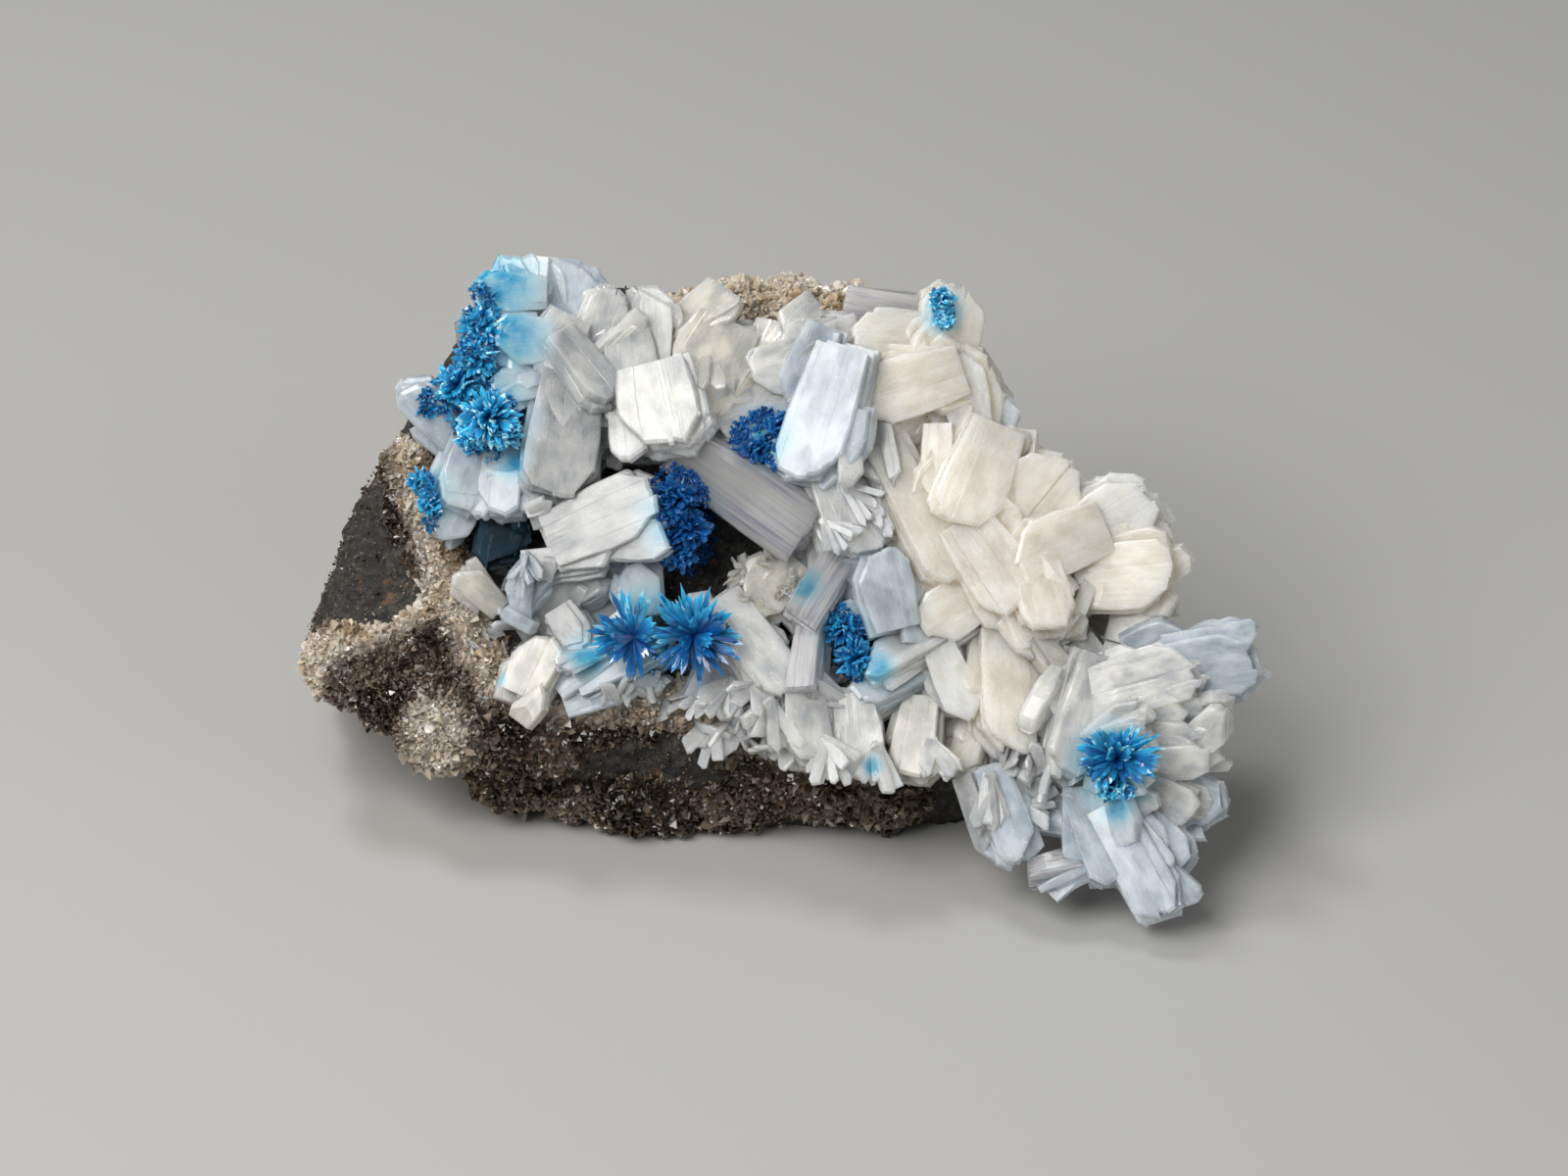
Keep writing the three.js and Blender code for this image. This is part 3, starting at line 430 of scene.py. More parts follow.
def from_face(points):
    """Points given as [across, up, out], in the part's own frame."""
    return np.asarray(points, float) @ FACE_AXES + FACE_MIDDLE


def unit(vectors):
    """Each vector at length one."""
    return vectors / np.maximum(np.linalg.norm(vectors, axis=-1, keepdims=True), 1e-9)


def turned(axis, degrees):
    """Rotation about X, Y or Z, as a 3 by 3 matrix."""
    return np.array(Matrix.Rotation(math.radians(degrees), 3, axis))


def any_directions(count, rng):
    """Even random directions."""
    return unit(rng.normal(size=(count, 3)))


# ---------------------------------------------------------------- the rock's surface

def rock_reach(directions):
    """Distance from the rock's middle to its surface in each direction."""
    total = np.zeros(len(directions))
    for towards, distance in ROCK_PLANES:
        facing = directions @ unit(np.array(towards))
        total += (np.maximum(facing, 0) / distance) ** ROCK_CRISPNESS
    reach = total ** (-1 / ROCK_CRISPNESS)
    at = directions * reach[:, None]
    for height, along, phase in ROCK_WAVES:
        reach = reach + height * np.sin(at @ np.array(along) + phase)
    return reach


def rock_height(points):
    """How far each point stands out of the rock, along the ray from its middle."""
    rays = points - ROCK_MIDDLE
    return np.linalg.norm(rays, axis=1) - rock_reach(unit(rays))


def rock_surface(across, up):
    """The foremost points of the rock behind places of the display face."""
    across, up = np.asarray(across, float), np.asarray(up, float)
    depth = np.full(len(across), np.nan)
    step = 0.25
    for out in np.arange(12, -30, -step):
        points = from_face(np.stack([across, up, np.full(len(up), out)], 1))
        depth[np.isnan(depth) & (rock_height(points) < 0)] = out + step / 2
    return from_face(np.stack([across, up, np.nan_to_num(depth)], 1))


def rock_normal(points, step=0.6):
    """The rock's outward direction at points of its surface."""
    slopes = [rock_height(points + step * axis) - rock_height(points - step * axis)
              for axis in np.eye(3)]
    return unit(np.stack(slopes, 1))


# ---------------------------------------------------------------- meshes

def add_mesh(name, verts, faces, layers=None, smooth=False):
    """An object of a mesh given in millimetres, with a number for each point in named layers."""
    mesh = bpy.data.meshes.new(name)
    mesh.from_pydata((np.asarray(verts) * MM).tolist(), [], [tuple(face) for face in faces])
    for layer, values in (layers or {}).items():
        mesh.attributes.new(layer, "FLOAT", "POINT").data.foreach_set("value", values)
    if smooth:
        mesh.shade_smooth()
    piece = bpy.data.objects.new(name, mesh)
    bpy.context.scene.collection.objects.link(piece)
    return piece


def dress(piece, material, slot, *nodes):
    """Gives a piece its material, and sets it in the place of its solids."""
    piece.data.materials.clear()
    piece.data.materials.append(material)
    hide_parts(*nodes)
    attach(piece, "root")


def join_solids(name, parts):
    """One closed mesh of overlapping closed parts, which keeps each one's look.

    A part is (verts, faces, look), as blade_layers gives it.
    """
    pieces = [add_mesh(f"{name}_{i}", *part[:2]) for i, part in enumerate(parts)]
    others = bpy.data.collections.new(f"{name}_parts")
    for piece in pieces[1:]:
        bpy.context.scene.collection.objects.unlink(piece)
        others.objects.link(piece)
    bpy.context.scene.collection.children.link(others)
    union = pieces[0].modifiers.new("union", "BOOLEAN")
    union.operation = "UNION"
    union.operand_type = "COLLECTION"
    union.collection = others
    union.solver = "MANIFOLD"
    evaluated = pieces[0].evaluated_get(bpy.context.evaluated_depsgraph_get())
    mesh = bpy.data.meshes.new_from_object(evaluated)
    for piece in pieces:
        old = piece.data
        bpy.data.objects.remove(piece)
        bpy.data.meshes.remove(old)
    bpy.data.collections.remove(others)
    carry_looks(mesh, parts)
    piece = bpy.data.objects.new(name, mesh)
    bpy.context.scene.collection.objects.link(piece)
    return piece


def carry_looks(mesh, parts):
    """Gives each face corner its place in its own blade and the blade's tint.

    "grain" is the place in millimetres, shifted for each blade, and "spot" runs from -1 to 1.
    """
    verts, faces, owners = [], [], []
    for owner, part in enumerate(parts):
        start = len(verts)
        verts += part[0].tolist()
        faces += [[start + v for v in face] for face in part[1]]
        owners += [owner] * len(part[1])
    tree = BVHTree.FromPolygons(verts, faces)
    owner = [owners[tree.find_nearest(polygon.center / MM)[2]] for polygon in mesh.polygons]
    owner = np.repeat(owner, [polygon.loop_total for polygon in mesh.polygons])
    places = np.empty(3 * len(mesh.vertices))
    mesh.vertices.foreach_get("co", places)
    corners = np.empty(len(mesh.loops), int)
    mesh.loops.foreach_get("vertex_index", corners)
    looks = zip(*(part[2] for part in parts))
    axes, middle, half, offset, tint = (np.array(column)[owner] for column in looks)
    place = np.einsum("nij,nj->ni", axes, places.reshape(-1, 3)[corners] / MM - middle)
    for layer, values in (("grain", place + offset), ("spot", place / half), ("tint", tint)):
        corner_layer = mesh.attributes.new(layer, "FLOAT_VECTOR", "CORNER")
        corner_layer.data.foreach_set("vector", values.ravel())


def prisms(feet, axes, wide, half_widths, half_depths, lengths, tip_shares, sides=4, root=1.0):
    """Pointed prisms on feet along axes, each broad in a given direction.

    Returns the verts, the faces and the prism that each vertex belongs to.
    """
    axes = unit(axes)
    first = unit(wide - axes * np.sum(wide * axes, axis=1, keepdims=True))
    second = np.cross(axes, first)
    rings = []
    for share, level in ((root, 0.0), (1.0, 1.0)):
        height = (lengths * (1 - tip_shares) * level)[:, None]
        for k in range(sides):
            angle = 2 * math.pi * (k + 0.5) / sides
            rings.append(feet + axes * height
                         + first * (half_widths * share * math.cos(angle))[:, None]
                         + second * (half_depths * share * math.sin(angle))[:, None])
    rings.append(feet + axes * lengths[:, None])
    verts = np.stack(rings, 1).reshape(-1, 3)
    shape = [tuple(range(sides - 1, -1, -1))]
    for k in range(sides):
        after = (k + 1) % sides
        shape.append((k, after, sides + after, sides + k))
        shape.append((sides + k, sides + after, 2 * sides))
    step = 2 * sides + 1
    faces = [tuple(i * step + v for v in face) for i in range(len(feet)) for face in shape]
    return verts, faces, np.repeat(np.arange(len(feet)), step)


# ---------------------------------------------------------------- materials
# Noise repeats so many times a metre, or a millimetre over a blade's own grain.

class Graph:
    """A material's nodes and its shader."""

    def __init__(self, name):
        self.material = bpy.data.materials.new(name)
        self.material.use_nodes = True
        self.tree = self.material.node_tree
        self.shader = self.tree.nodes["Principled BSDF"]

    def add(self, kind, **settings):
        """A node, with its properties set."""
        node = self.tree.nodes.new(f"ShaderNode{kind}")
        for name, value in settings.items():
            setattr(node, name, value)
        return node

    def link(self, source, target):
        """A link between two sockets."""
        self.tree.links.new(source, target)

    def feed(self, name, source):
        """A link to an input of the shader."""
        self.link(source, self.shader.inputs[name])

    def even(self, values):
        """Sets the shader's inputs that are the same all over."""
        for name, value in values.items():
            self.shader.inputs[name].default_value = value

    def scatter(self, weight, radius):
        """Light that scatters below the surface, over a radius in metres for each colour."""
        self.even({"Subsurface Weight": weight, "Subsurface Radius": radius,
                   "Subsurface Scale": 1.0})

    def layer(self, name):
        """The value of a named layer of the mesh."""
        return self.add("Attribute", attribute_name=name)

    def place(self):
        """Object coordinates."""
        return self.add("TexCoord").outputs["Object"]

    def noise(self, vector, scale, detail=4.0, roughness=0.55):
        """Fractal noise over a vector. The scale is a number, or one for each axis."""
        node = self.add("TexNoise")
        if isinstance(scale, tuple):
            stretch = self.add("VectorMath", operation="MULTIPLY")
            self.link(vector, stretch.inputs[0])
            stretch.inputs[1].default_value = scale
            vector, scale = stretch.outputs["Vector"], 1.0
        node.inputs["Scale"].default_value = scale
        node.inputs["Detail"].default_value = detail
        node.inputs["Roughness"].default_value = roughness
        self.link(vector, node.inputs["Vector"])
        return node.outputs["Fac"]

    def ramp(self, value, *stops):
        """Colours or greys over a value: (position, colour)."""
        node = self.add("ValToRGB")
        elements = node.color_ramp.elements
        while len(elements) < len(stops):
            elements.new(0.5)
        for element, (position, colour) in zip(elements, stops):
            element.position = position
            element.color = (*(colour if isinstance(colour, tuple) else grey(colour)), 1)
        self.link(value, node.inputs["Fac"])
        return node.outputs["Color"]

    def mix(self, factor, first, second, blend="MIX"):
        """Two colours mixed. Each is a socket or a colour."""
        node = self.add("Mix", data_type="RGBA", blend_type=blend)
        sockets = (node.inputs["Factor"], node.inputs[6], node.inputs[7])
        for socket, value in zip(sockets, (factor, first, second)):
            if hasattr(value, "links"):
                self.link(value, socket)
            else:
                socket.default_value = (*value, 1) if isinstance(value, tuple) else value
        return node.outputs[2]

    def times(self, first, second):
        """Two colours multiplied."""
        return self.mix(1.0, first, second, "MULTIPLY")

    def bump(self, height, strength, distance, normal=None):
        """A bump from a height in metres."""
        node = self.add("Bump")
        node.inputs["Strength"].default_value = strength
        node.inputs["Distance"].default_value = distance
        self.link(height, node.inputs["Height"])
        if normal is not None:
            self.link(normal, node.inputs["Normal"])
        return node.outputs["Normal"]


def grey(value):
    """A grey colour."""
    return (value, value, value)


def scaled(values, share):
    """Each part of a colour or radius, times a share."""
    return tuple(share * value for value in values)


def basalt_material(settings):
    """Dark, fine-grained and rough, with rusty flecks and sparkling specks."""
    graph = Graph("Basalt")
    place = graph.place()
    patches = graph.noise(place, 170, 6, 0.6)
    grain = graph.noise(place, 1300, 5, 0.7)
    dark = tuple(settings.basalt_color)
    colour = graph.ramp(patches, (0.3, scaled(dark, 0.5)), (0.52, dark), (0.72, scaled(dark, 1.4)))
    colour = graph.times(colour, graph.ramp(grain, (0.38, 0.25), (0.5, 0.6), (0.62, 1.6)))
    rust = graph.ramp(graph.noise(place, 420, 6, 0.7), (0.58, 0), (0.66, 1))
    colour = graph.mix(rust, colour, tuple(settings.rust_color))
    specks = graph.add("TexVoronoi")
    specks.inputs["Scale"].default_value = 2100
    graph.link(place, specks.inputs["Vector"])
    sparkle = graph.ramp(specks.outputs["Distance"], (0.08, 1), (0.2, 0))
    chosen = graph.ramp(graph.noise(place, 900, 2), (0.46, 0), (0.52, 1))
    sparkle = graph.times(sparkle, chosen)
    graph.feed("Base Color", graph.mix(sparkle, colour, (0.26, 0.23, 0.19)))
    rough = graph.ramp(grain, (0.35, 0.45), (0.65, 0.9))
    graph.feed("Roughness", graph.mix(sparkle, rough, grey(0.15)))
    normal = graph.bump(grain, 1.0, 0.0005)
    graph.feed("Normal", graph.bump(graph.noise(place, 4200, 2), 0.8, 0.00012, normal))
    return graph.material


def druse_material():
    """Small glassy crystals, cream on the rims and brown in the hollows: partly their own colour,
    partly painted light on the rims and painted shade in the hollows.
    """
    graph = Graph("Druse")
    place = graph.place()
    pale = graph.layer("pale").outputs["Fac"]
    stain = graph.noise(place, 240, 5, 0.6)
    # The darkest browns, near black, are painted shade in the hollows.
    brown = graph.ramp(stain, (0.36, (0.006, 0.004, 0.003)), (0.5, (0.024, 0.016, 0.011)),
                       (0.66, (0.13, 0.09, 0.06)))
    cream = graph.ramp(stain, (0.34, (0.46, 0.32, 0.19)), (0.45, (0.74, 0.59, 0.44)),
                       (0.6, (0.95, 0.84, 0.71)))
    # Each druse crystal's tone differs at random; the domes under them are darker, painted shade.
    tone_and_painted_light = graph.ramp(graph.layer("tone_and_painted_light").outputs["Fac"], (0.0, 0.5), (0.6, 1.0))
    graph.feed("Base Color", graph.times(graph.mix(pale, brown, cream), tone_and_painted_light))
    graph.even({"Roughness": 0.08, "IOR": 1.5, "Transmission Weight": 0.1,
                "Coat Weight": 0.25, "Coat Roughness": 0.06})
    graph.scatter(0.8, (0.0006, 0.0005, 0.0004))
    graph.feed("Normal", graph.bump(graph.noise(place, 2600, 3), 0.3, 0.0001))
    return graph.material


def stain_share(graph, place):
    """How near cavansite is, from 0 to 1, at each point of a material."""
    total = None
    for across, up, out, reach in STAINS:
        away = graph.add("VectorMath", operation="DISTANCE")
        graph.link(place, away.inputs[0])
        away.inputs[1].default_value = from_face((across, up, out)) * MM
        share = graph.add("MapRange")
        graph.link(away.outputs["Value"], share.inputs["Value"])
        share.inputs["From Min"].default_value = reach * MM
        share.inputs["From Max"].default_value = STAIN_CORE * reach * MM
        if total is None:
            total = share.outputs["Result"]
            continue
        largest = graph.add("Math", operation="MAXIMUM")
        graph.link(total, largest.inputs[0])
        graph.link(share.outputs["Result"], largest.inputs[1])
        total = largest.outputs[0]
    return total


def stained(graph, colour, settings):
    """A colour with the blue that cavansite lends it."""
    place = graph.place()
    patchy = graph.ramp(graph.noise(place, 700, 4, 0.6), (0.25, 0.55), (0.6, 1.0))
    share = graph.times(stain_share(graph, place), patchy)
    blue = graph.ramp(share, (0.0, (0.80, 0.86, 0.90)), (0.45, (0.50, 0.74, 0.84)),
                      (1.0, tuple(settings.stain_color)))
    amount = graph.ramp(share, (0.0, 0), (0.25, 0.6), (0.7, 1))
    return graph.mix(amount, colour, blue)


def stilbite_material(settings, name, clearness, clouds, reach, gloss):
    """Milky to translucent stilbite, with clouds and blue stains: whiter at the sides, painted
    light through the thin edges, and darker towards the roots, painted shade.

    The reach says how far light spreads inside it.
    """
    graph = Graph(name)
    grain = graph.layer("grain").outputs["Vector"]
    tint = graph.layer("tint").outputs["Color"]
    spot = graph.add("SeparateXYZ")
    graph.link(graph.layer("spot").outputs["Vector"], spot.inputs[0])
    aside = graph.add("Math", operation="ABSOLUTE")
    graph.link(spot.outputs["X"], aside.inputs[0])
    along = graph.add("Math", operation="MULTIPLY_ADD")
    graph.link(spot.outputs["Y"], along.inputs[0])
    along.inputs[1].default_value = 0.5
    along.inputs[2].default_value = 0.5
    milk = graph.ramp(graph.noise(grain, (0.7, 0.4, 0.7), 4, 0.55), (0.36, 0), (0.62, 1))
    lines = graph.noise(grain, (5.0, 0.05, 5.0), 2, 0.6)
    streaks = graph.ramp(lines, (0.30, 0.94 + 0.04 * (1 - gloss)), (0.62, 1.0))
    white = graph.times(tint, (1.12, 1.12, 1.13))
    colour = graph.mix(milk, graph.times(tint, clouds), white)
    colour = graph.times(colour, streaks)
    # Darker towards each blade's root: painted shade where the blades crowd together.
    colour = graph.times(colour, graph.ramp(along.outputs[0], (0.1, 0.88), (0.75, 1.0)))
    # The sides turn white: painted light shining through the thin edges.
    rim = graph.ramp(aside.outputs[0], (0.78, 0), (1.0, 0.8))
    colour = graph.mix(rim, colour, white)
    graph.feed("Base Color", stained(graph, colour, settings))
    ripples = graph.noise(grain, (1.4, 0.7, 1.4), 2, 0.5)
    normal = graph.bump(lines, 0.25 * gloss ** 2, 0.00006)
    graph.feed("Normal", graph.bump(ripples, 0.2, 0.00012, normal))
    patches = graph.noise(grain, (2.0, 0.8, 2.0), 4, 0.6)
    smooth, rough = 0.26 - 0.2 * gloss, 0.5 - 0.22 * gloss
    graph.feed("Roughness", graph.ramp(patches, (0.36, smooth), (0.62, rough)))
    graph.even({"IOR": 1.5, "Transmission Weight": clearness})
    graph.scatter(1.0, scaled((0.0020, 0.0018, 0.0015), reach))
    return graph.material


def clear_material(settings):
    """Clear stilbite with milky veils and growth lines."""
    graph = Graph("Clear stilbite")
    grain = graph.layer("grain").outputs["Vector"]
    lines = graph.noise(grain, (3.4, 0.04, 3.4), 3, 0.65)
    veils = graph.ramp(graph.noise(grain, (0.5, 0.14, 0.5), 4, 0.6), (0.44, 0), (0.58, 1))
    clear = graph.ramp(lines, (0.40, (0.50, 0.50, 0.62)), (0.48, (0.80, 0.80, 0.90)), (0.56, 1.0))
    milky = graph.ramp(lines, (0.40, (0.84, 0.82, 0.90)), (0.52, 1.0))
    graph.feed("Base Color", stained(graph, graph.mix(veils, clear, milky), settings))
    graph.feed("Roughness", graph.ramp(lines, (0.38, 0.02), (0.62, 0.22)))
    graph.feed("Normal", graph.bump(lines, 0.5, 0.00012))
    graph.even({"IOR": 1.5, "Transmission Weight": 0.66})
    graph.scatter(1.0, grey(0.003))
    return graph.material


def cavansite_material(settings, name, gloss):
    """Vivid blue blades, deeper towards the middle of each rosette and near white at the tips:
    painted shade in the middle and a painted highlight at the tips.
    """
    graph = Graph(name)
    tone_and_painted_light = graph.layer("tone_and_painted_light").outputs["Fac"]
    place = graph.place()
    deep, bright = tuple(settings.cavansite_deep), tuple(settings.cavansite_bright)
    middle = tuple(0.72 * a + 0.28 * b for a, b in zip(deep, bright))
    # From deep blue at the roots to a near-white cyan at the tips: painted shade in a rosette's
    # middle and a painted highlight at its tips.
    colour = graph.ramp(tone_and_painted_light, (0.0, deep), (0.45, middle), (0.95, bright),
                        (1.0, (0.35, 0.80, 0.98)))
    patches = graph.ramp(graph.noise(place, 900, 4), (0.3, 0.6), (0.7, 1.3))
    graph.feed("Base Color", graph.times(colour, patches))
    graph.even({"Roughness": 0.34 - 0.2 * gloss, "IOR": 1.54,
                "Coat Weight": 0.8 * gloss, "Coat Roughness": 0.05})
    graph.scatter(0.2, (0.0002, 0.0006, 0.0009))
    graph.feed("Normal", graph.bump(graph.noise(place, 3000, 3), 0.5, 0.00008))
    return graph.material


def floor_material(settings):
    """Plain pale matt floor."""
    graph = Graph("Floor")
    graph.even({"Base Color": (*settings.floor_color, 1), "Roughness": 0.7})
    return graph.material


# ---------------------------------------------------------------- basalt

def round_ball(subdivisions):
    """Directions and faces of a ball of even triangles."""
    ball = bmesh.new()
    bmesh.ops.create_icosphere(ball, subdivisions=subdivisions, radius=1)
    directions = unit(np.array([vertex.co for vertex in ball.verts]))
    faces = [[vertex.index for vertex in face.verts] for face in ball.faces]
    ball.free()
    return directions, faces


def make_basalt(settings):
    """The rock: broken planes round its middle, roughened at every scale and flat underneath."""
    directions, faces = round_ball(ROCK_FINENESS)
    points = ROCK_MIDDLE + directions * rock_reach(directions)[:, None]
    rough = np.empty(len(points))
    for i, point in enumerate(points):
        spot = Vector(point)
        broad = terrain.fractal(spot * 0.2, 1.0, 2.1, 4)
        chips = terrain.voronoi(spot * 0.5)[0]
        crumbs = terrain.voronoi(spot * 1.6)[0]
        pits = terrain.noise(spot * 2.9)
        rough[i] = (SWELL * broad + CHIPS * (chips[1] - chips[0]) + CRUMBS * (crumbs[1] - crumbs[0])
                    + PITS * pits + RELIEF_SHIFT)
    points += rock_normal(points) * rough[:, None]
    points[:, 2] = np.maximum(points[:, 2], 0)
    piece = add_mesh("basalt_rock", points, faces, smooth=True)
    dress(piece, basalt_material(settings), "basalt", "basalt_matrix")


# ---------------------------------------------------------------- druse

def line_distance(points, line):
    """Distance from points of the display face to a line through places on it."""
    nearest = np.full(len(points), np.inf)
    for start, end in zip(np.array(line[:-1], float), np.array(line[1:], float)):
        along = end - start
        share = np.clip((points - start) @ along / (along @ along), 0, 1)
        away = np.linalg.norm(points - start - share[:, None] * along, axis=1)
        nearest = np.minimum(nearest, away)
    return nearest


def pale_lit_share(points):
    """How pale the druse is at each point: cream along the rims, partly painted light, and brown in
    the hollows, partly painted shade.
    """
    flat = (points - FACE_MIDDLE) @ FACE_AXES.T[:, :2]
    share = np.zeros(len(points))
    for line, reach in PALE_LIT_RIMS:
        share = np.maximum(share, np.clip(1.5 - line_distance(flat, line) / reach, 0, 1))
    return share


def lump_reach(middle, radius, directions):
    """Distance from a lump's middle to its uneven surface in each direction."""
    waves = [terrain.fractal(Vector(middle + radius * spot) * 0.75, 1.0, 2.0, 4)
             for spot in directions]
    return DRUSE_SWELL * radius + DRUSE_WAVES * np.array(waves)


def crust_places(middles, radius, count, rng):
    """Places of crystals on the open side of lumps, and the way that each points."""
    area = radius ** 2
    chosen = np.sort(rng.choice(len(middles), size=count, p=area / area.sum()))
    directions = any_directions(count, rng)
    outer = middles[chosen] + directions * radius[chosen][:, None]
    outside = (rock_height(outer) > -0.35) & (outer[:, 2] > 0.5)
    for i, middle in enumerate(middles):
        clear = np.linalg.norm(outer - middle, axis=1) > DRUSE_SWELL * radius[i]
        outside &= clear | (chosen == i)
    chosen, directions = chosen[outside], directions[outside]
    reach = np.concatenate([lump_reach(middle, radius[i], directions[chosen == i])
                            for i, middle in enumerate(middles)])
    reach = reach + rng.uniform(-0.05, 0.12, len(reach))
    return middles[chosen] + directions * reach[:, None], directions


def dust_places(middles, count, rng):
    """Places of grains strewn on the bare rock, most of them round the lumps."""
    spots = any_directions(count, rng)
    beside = middles[rng.choice(len(middles), size=count)]
    beside = beside + DUST_SPREAD * rng.normal(size=(count, 3))
    spots = np.concatenate([spots[::3], unit(beside - ROCK_MIDDLE)])
    grains = ROCK_MIDDLE + spots * rock_reach(spots)[:, None]
    return grains[(grains[:, 2] > 0.6) & ((grains - FACE_MIDDLE) @ OUT > DUST_BACK)]


def make_druse(name, lumps, material):
    """A crust of small crystals over lumps sunk in the rock, with grains strewn round it."""
    node, count, sizes, seed, dust = DRUSE_CRUSTS[name]
    rng = np.random.default_rng(seed)
    pale = pale_lit_share if node == "druse_front" else lambda points: np.ones(len(points))
    across, up, radius, height = np.array(lumps).T
    feet = rock_surface(across, up)
    middles = feet + rock_normal(feet, 0.8) * (height - DRUSE_INNER * radius)[:, None]
    points, directions = crust_places(middles, radius, count, rng)
    if dust:
        grains = dust_places(middles, dust, rng)
        points = np.concatenate([points, grains])
        directions = np.concatenate([directions, rock_normal(grains)])
    count = len(points)
    axes = unit(directions + DRUSE_LEAN * any_directions(count, rng))
    lengths = rng.uniform(*sizes, count) * (1 + 1.2 * rng.random(count) ** 6)
    if dust:
        lengths[-len(grains):] *= rng.uniform(*DUST_SIZES, len(grains))
    widths = lengths * rng.uniform(0.3, 0.6, count)
    feet = points - axes * (0.5 * lengths)[:, None]
    verts, faces, owner = prisms(feet, axes, any_directions(count, rng), widths,
                                 widths * rng.uniform(0.5, 1, count), lengths * 1.4,
                                 rng.uniform(0.15, 0.6, count), sides=3)
    shade = pale(points)
    if node == "druse_front":
        shade = np.clip(shade + 0.16 * rng.normal(size=count), 0, 1)
    parts = [(verts, faces, np.clip(rng.normal(0.6, 0.22, count), 0, 1)[owner], shade[owner])]
    ball, ball_faces = round_ball(LUMP_FINENESS)
    for middle, size in zip(middles, radius):
        dome = middle + ball * lump_reach(middle, size, ball)[:, None]
        # The domes get the dark tone: painted shade under the crystals.
        parts.append((dome, ball_faces, np.full(len(dome), DOME_PAINTED_SHADE), pale(dome)))
    start, all_faces = 0, []
    for part in parts:
        all_faces += [tuple(start + v for v in face) for face in part[1]]
        start += len(part[0])
    everything, tone_and_painted_light, shade = (np.concatenate([part[k] for part in parts]) for k in (0, 2, 3))
    everything[:, 2] = np.maximum(everything[:, 2], DRUSE_FLOOR)
    piece = add_mesh(name, everything, all_faces, {"tone_and_painted_light": tone_and_painted_light, "pale": shade})
    dress(piece, material, "druse", node)


# ---------------------------------------------------------------- stilbite

Blade = namedtuple("Blade", "spin place length width thickness slant tip finish seed")


def main_blade(row):
    """A blade of the tables, turned and placed on the display face."""
    across, up, out, length, width, thickness, turn, lean, roll, tip, finish = row
    seed = across + SEED_STEP * up
    spin = (turned("Z", turn - 90) @ turned("X", lean + LEAN_SPREAD * vary(seed + 1))
            @ turned("Y", roll + ROLL_SPREAD * vary(seed + 2)))
    return Blade(spin, np.array([across, up, out]), length, width, thickness,
                 SLANT_SPREAD * vary(seed), tip, finish, seed)


def offshoots(blade, count, rng):
    """Smaller crystals grown together with a blade: fanned along its sides, and on its front."""
    grown = []
    for i in range(count):
        length = blade.length * rng.uniform(0.45, 0.85)
        width = blade.width * rng.uniform(0.36, 0.7)
        side = rng.choice([-1, 1])
        if blade.place[2] > PROUD or rng.random() < 0.9:
            spin = (turned("Z", -side * rng.uniform(2, 20)) @ turned("X", rng.uniform(-8, 8))
                    @ turned("Y", rng.normal(0, 16)))
            place = np.array([side * rng.uniform(0.22, 0.42) * blade.width,
                              rng.uniform(-0.4, 0.3) * blade.length,
                              -rng.uniform(0.05, 0.6) * blade.thickness])
        else:
            spin = (turned("Z", side * rng.uniform(2, 26)) @ turned("X", rng.uniform(2, 10))
                    @ turned("Y", rng.uniform(-10, 10)))
            place = np.array([rng.uniform(-0.3, 0.3) * blade.width,
                              rng.uniform(-0.5, -0.2) * blade.length, rng.uniform(-0.1, 0.15)])
        place[1] = min(place[1], 0.5 * blade.length - 0.5 * length)
        grown.append(Blade(blade.spin @ spin, blade.place + blade.spin @ place, length, width,
                           rng.uniform(0.5, 1.0) * min(1.8, blade.thickness * 0.45),
                           SLANT_SPREAD * rng.uniform(-1, 1),
                           rng.choice(OFFSHOOT_TIPS), blade.finish, blade.seed + 0.37 * (i + 1)))
    return grown


